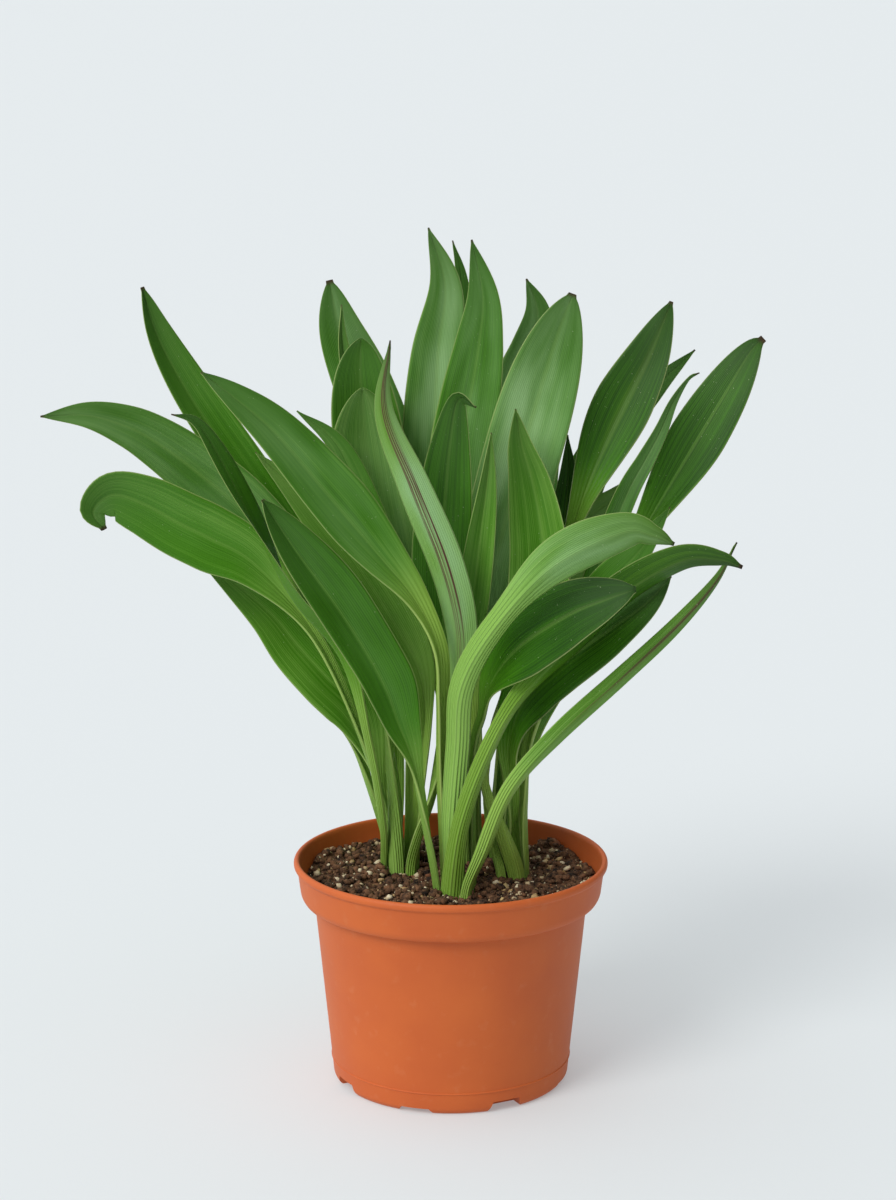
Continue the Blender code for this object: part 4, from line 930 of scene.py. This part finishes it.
def leaf_finish(name, colours, rib_colour, roughness, rib_depth, flush_share):
    """A leaf's skin. Colours are dark, middle and light, and rib_depth is in millimetres."""
    finish, tree, shader = new_material(name, roughness, 1.42)
    shader.inputs["Specular IOR Level"].default_value = 0.20
    read = leaf_readings(tree)
    green = leaf_green(tree, read, colours)
    # painted sheen: pale highlight patches over the green
    sheen_painted = with_painted_sheen(tree, read, green)
    ribbed = with_ribs(tree, read, sheen_painted, rib_colour)
    aged = with_age(tree, read, ribbed, flush_share)
    colour = with_edges(tree, read, aged)
    tree.links.new(colour.outputs[2], shader.inputs["Base Color"])
    tree.links.new(vein_bump(tree, read, rib_depth).outputs[0], shader.inputs["Normal"])
    return finish


LEAF_UPPER = leaf_finish("waxy_leaf_skin", ("20480B", "447E14", "84B24C"), "8FB45A",
                         roughness=0.40, rib_depth=0.08, flush_share=0.35)
LEAF_UNDER = leaf_finish("ribbed_leaf_underside", ("305E12", "55891B", "8CBA56"), "93B866",
                         roughness=0.50, rib_depth=0.16, flush_share=0.85)
print("leaf finishes:", LEAF_UPPER.name, "and", LEAF_UNDER.name)

# %% [markdown]
# A flat grid is the start of each leaf: its columns become lines along the blade and its rows become
# stations on the midrib. Moving each point of the grid by the formula folds it into a leaf, and a
# Solidify modifier then gives it thickness: thick along the stalk, thin as card at the blade's edge.
# Each point also keeps what the finishes read: where it lies on the leaf, and the leaf's look, with
# its painted sheen and the painted light in its lightness.

# %% Leaf surface
ALONG = 120
ACROSS = 16
STALK_THICK = 2.2
BLADE_THICK = 0.6
STALK_EDGE_THICK = 1.2
EDGE_THICK = 0.35
# a fold of 1 leans both halves of a leaf up by FULL_LEAN degrees. The stalk is a gutter.
FULL_LEAN = 62.0
STALK_FOLD = 0.55
# each leaf's veins and waves start at a place of their own
SPOT_APART = 31.0
WAVE_APART = 1.7


def leaf_stations(row):
    """Shares, places, side ways and faces of one leaf's stations, and its length."""
    _, shoot, angle, away, points, _, share, low_face, tip_face, _, _ = row
    turn = math.radians(angle)
    out = Vector((math.cos(turn), math.sin(turn), 0.0))
    foot = Vector((shoot[0], shoot[1], HOLE_FLOOR)) + out * away
    midrib = [foot, foot + Vector((0, 0, 16.0))] + [Vector(point) for point in points]
    even = [k / ALONG for k in range(ALONG + 1)]
    stations = [t + 0.30 * t * (1.0 - t) for t in even]
    places, ways, length = curve_through(midrib, stations)
    ways[0] = Vector((0, 0, 1))
    faces = facing_turns(ways, stations, -out, Vector(low_face), Vector(tip_face), share)
    sides = [way.cross(face).normalized() for way, face in zip(ways, faces)]
    return stations, places, sides, faces, length


def edge_wave(s, a, seed, wide):
    """Gentle waving of the blade's edges, in millimetres."""
    reach = abs(a) ** 2.0 * min(1.0, wide / 14.0) * smooth_step(0.45, 0.7, s)
    return 0.8 * reach * math.sin(17.0 * s + seed + (1.3 if a > 0 else 0.0))


def thickness_at(a, grown, s):
    """Thickness in millimetres: thick stalk and midrib, thin edge."""
    middle = STALK_THICK + (BLADE_THICK - STALK_THICK) * grown
    middle += 0.7 * math.exp(-(a / 0.08) ** 2) * grown * (1.0 - s)
    edge = EDGE_THICK + (STALK_EDGE_THICK - EDGE_THICK) * (1.0 - grown)
    return middle + (edge - middle) * abs(a) ** 3


def painted_sheen_share(a, s):
    """Share of the painted sheen: most along the middle of the blade, a little before its tip."""
    return (1.0 - 0.6 * a * a) * (0.35 + 0.65 * s) * (1.0 - 0.6 * smooth_step(0.8, 1.0, s))


def build_leaf(row, number):
    """One leaf as a folded grid with thickness, and the values that its finishes read."""
    name, _, _, _, _, widths, share, _, _, fold, roundness = row
    stations, places, sides, faces, length = leaf_stations(row)
    tone, dry, yellow, purple, painted_sheen_amount = LOOKS.get(name, USUAL_LOOK)
    bm = bmesh.new()
    bmesh.ops.create_grid(bm, x_segments=ACROSS, y_segments=ALONG, size=0.5)
    spot = bm.verts.layers.float_vector.new("spot_mm")
    measure = bm.verts.layers.float_vector.new("measure")
    look = bm.verts.layers.float_vector.new("look")
    flush = bm.verts.layers.float.new("flush")
    painted_sheen = bm.verts.layers.float.new("painted_sheen")
    weight = bm.verts.layers.deform.new()
    for v in bm.verts:
        a = max(-1.0, min(1.0, v.co.x * 2.0))
        k = min(ALONG, max(0, round((v.co.y + 0.5) * ALONG)))
        s = stations[k]
        wide = half_width(s, widths, share, roundness)
        grown = smooth_step(share - 0.08, share + 0.2, s)
        lean = math.radians(FULL_LEAN) * (STALK_FOLD + (fold - STALK_FOLD) * grown)
        lift = wide * (abs(a) ** 1.25 - 0.35) * math.sin(lean)
        lift += edge_wave(s, a, number * WAVE_APART, wide)
        lift -= 0.35 * math.exp(-(a / 0.07) ** 2) * grown
        v.co = (places[k] + sides[k] * (wide * a * math.cos(lean * 0.8)) + faces[k] * lift) * MM
        v[spot] = Vector((a * widths[2] / 2.0, s * length, number * SPOT_APART))
        v[measure] = Vector((a, s, grown))
        v[look] = Vector((tone, dry, yellow))
        v[flush] = purple * smooth_step(0.25, 0.7, s)
        # painted sheen: a pale highlight painted along the middle of the blade
        v[painted_sheen] = painted_sheen_amount * grown * painted_sheen_share(a, s)
        v[weight][0] = min(1.0, thickness_at(a, grown, s) / STALK_THICK)
    leaf = link_mesh(name + "_fine", bm, LEAF_UPPER, LEAF_UNDER)
    thicken(leaf)
    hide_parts(name)
    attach(leaf, "root")
    return leaf


def thicken(leaf):
    """Thickness by the weights of the leaf's points. The second skin takes the underside's finish."""
    group = leaf.vertex_groups.new(name="thickness")
    skin = leaf.modifiers.new("thickness", "SOLIDIFY")
    skin.thickness = STALK_THICK * MM
    skin.offset = 0.0
    skin.vertex_group = group.name
    skin.material_offset = 1
    skin.use_rim = True
    skin.use_even_offset = False


fine_leaves = [build_leaf(row, number) for number, row in enumerate(LEAVES)]
print("made", len(fine_leaves), "leaves of", ALONG, "by", ACROSS, "fields")
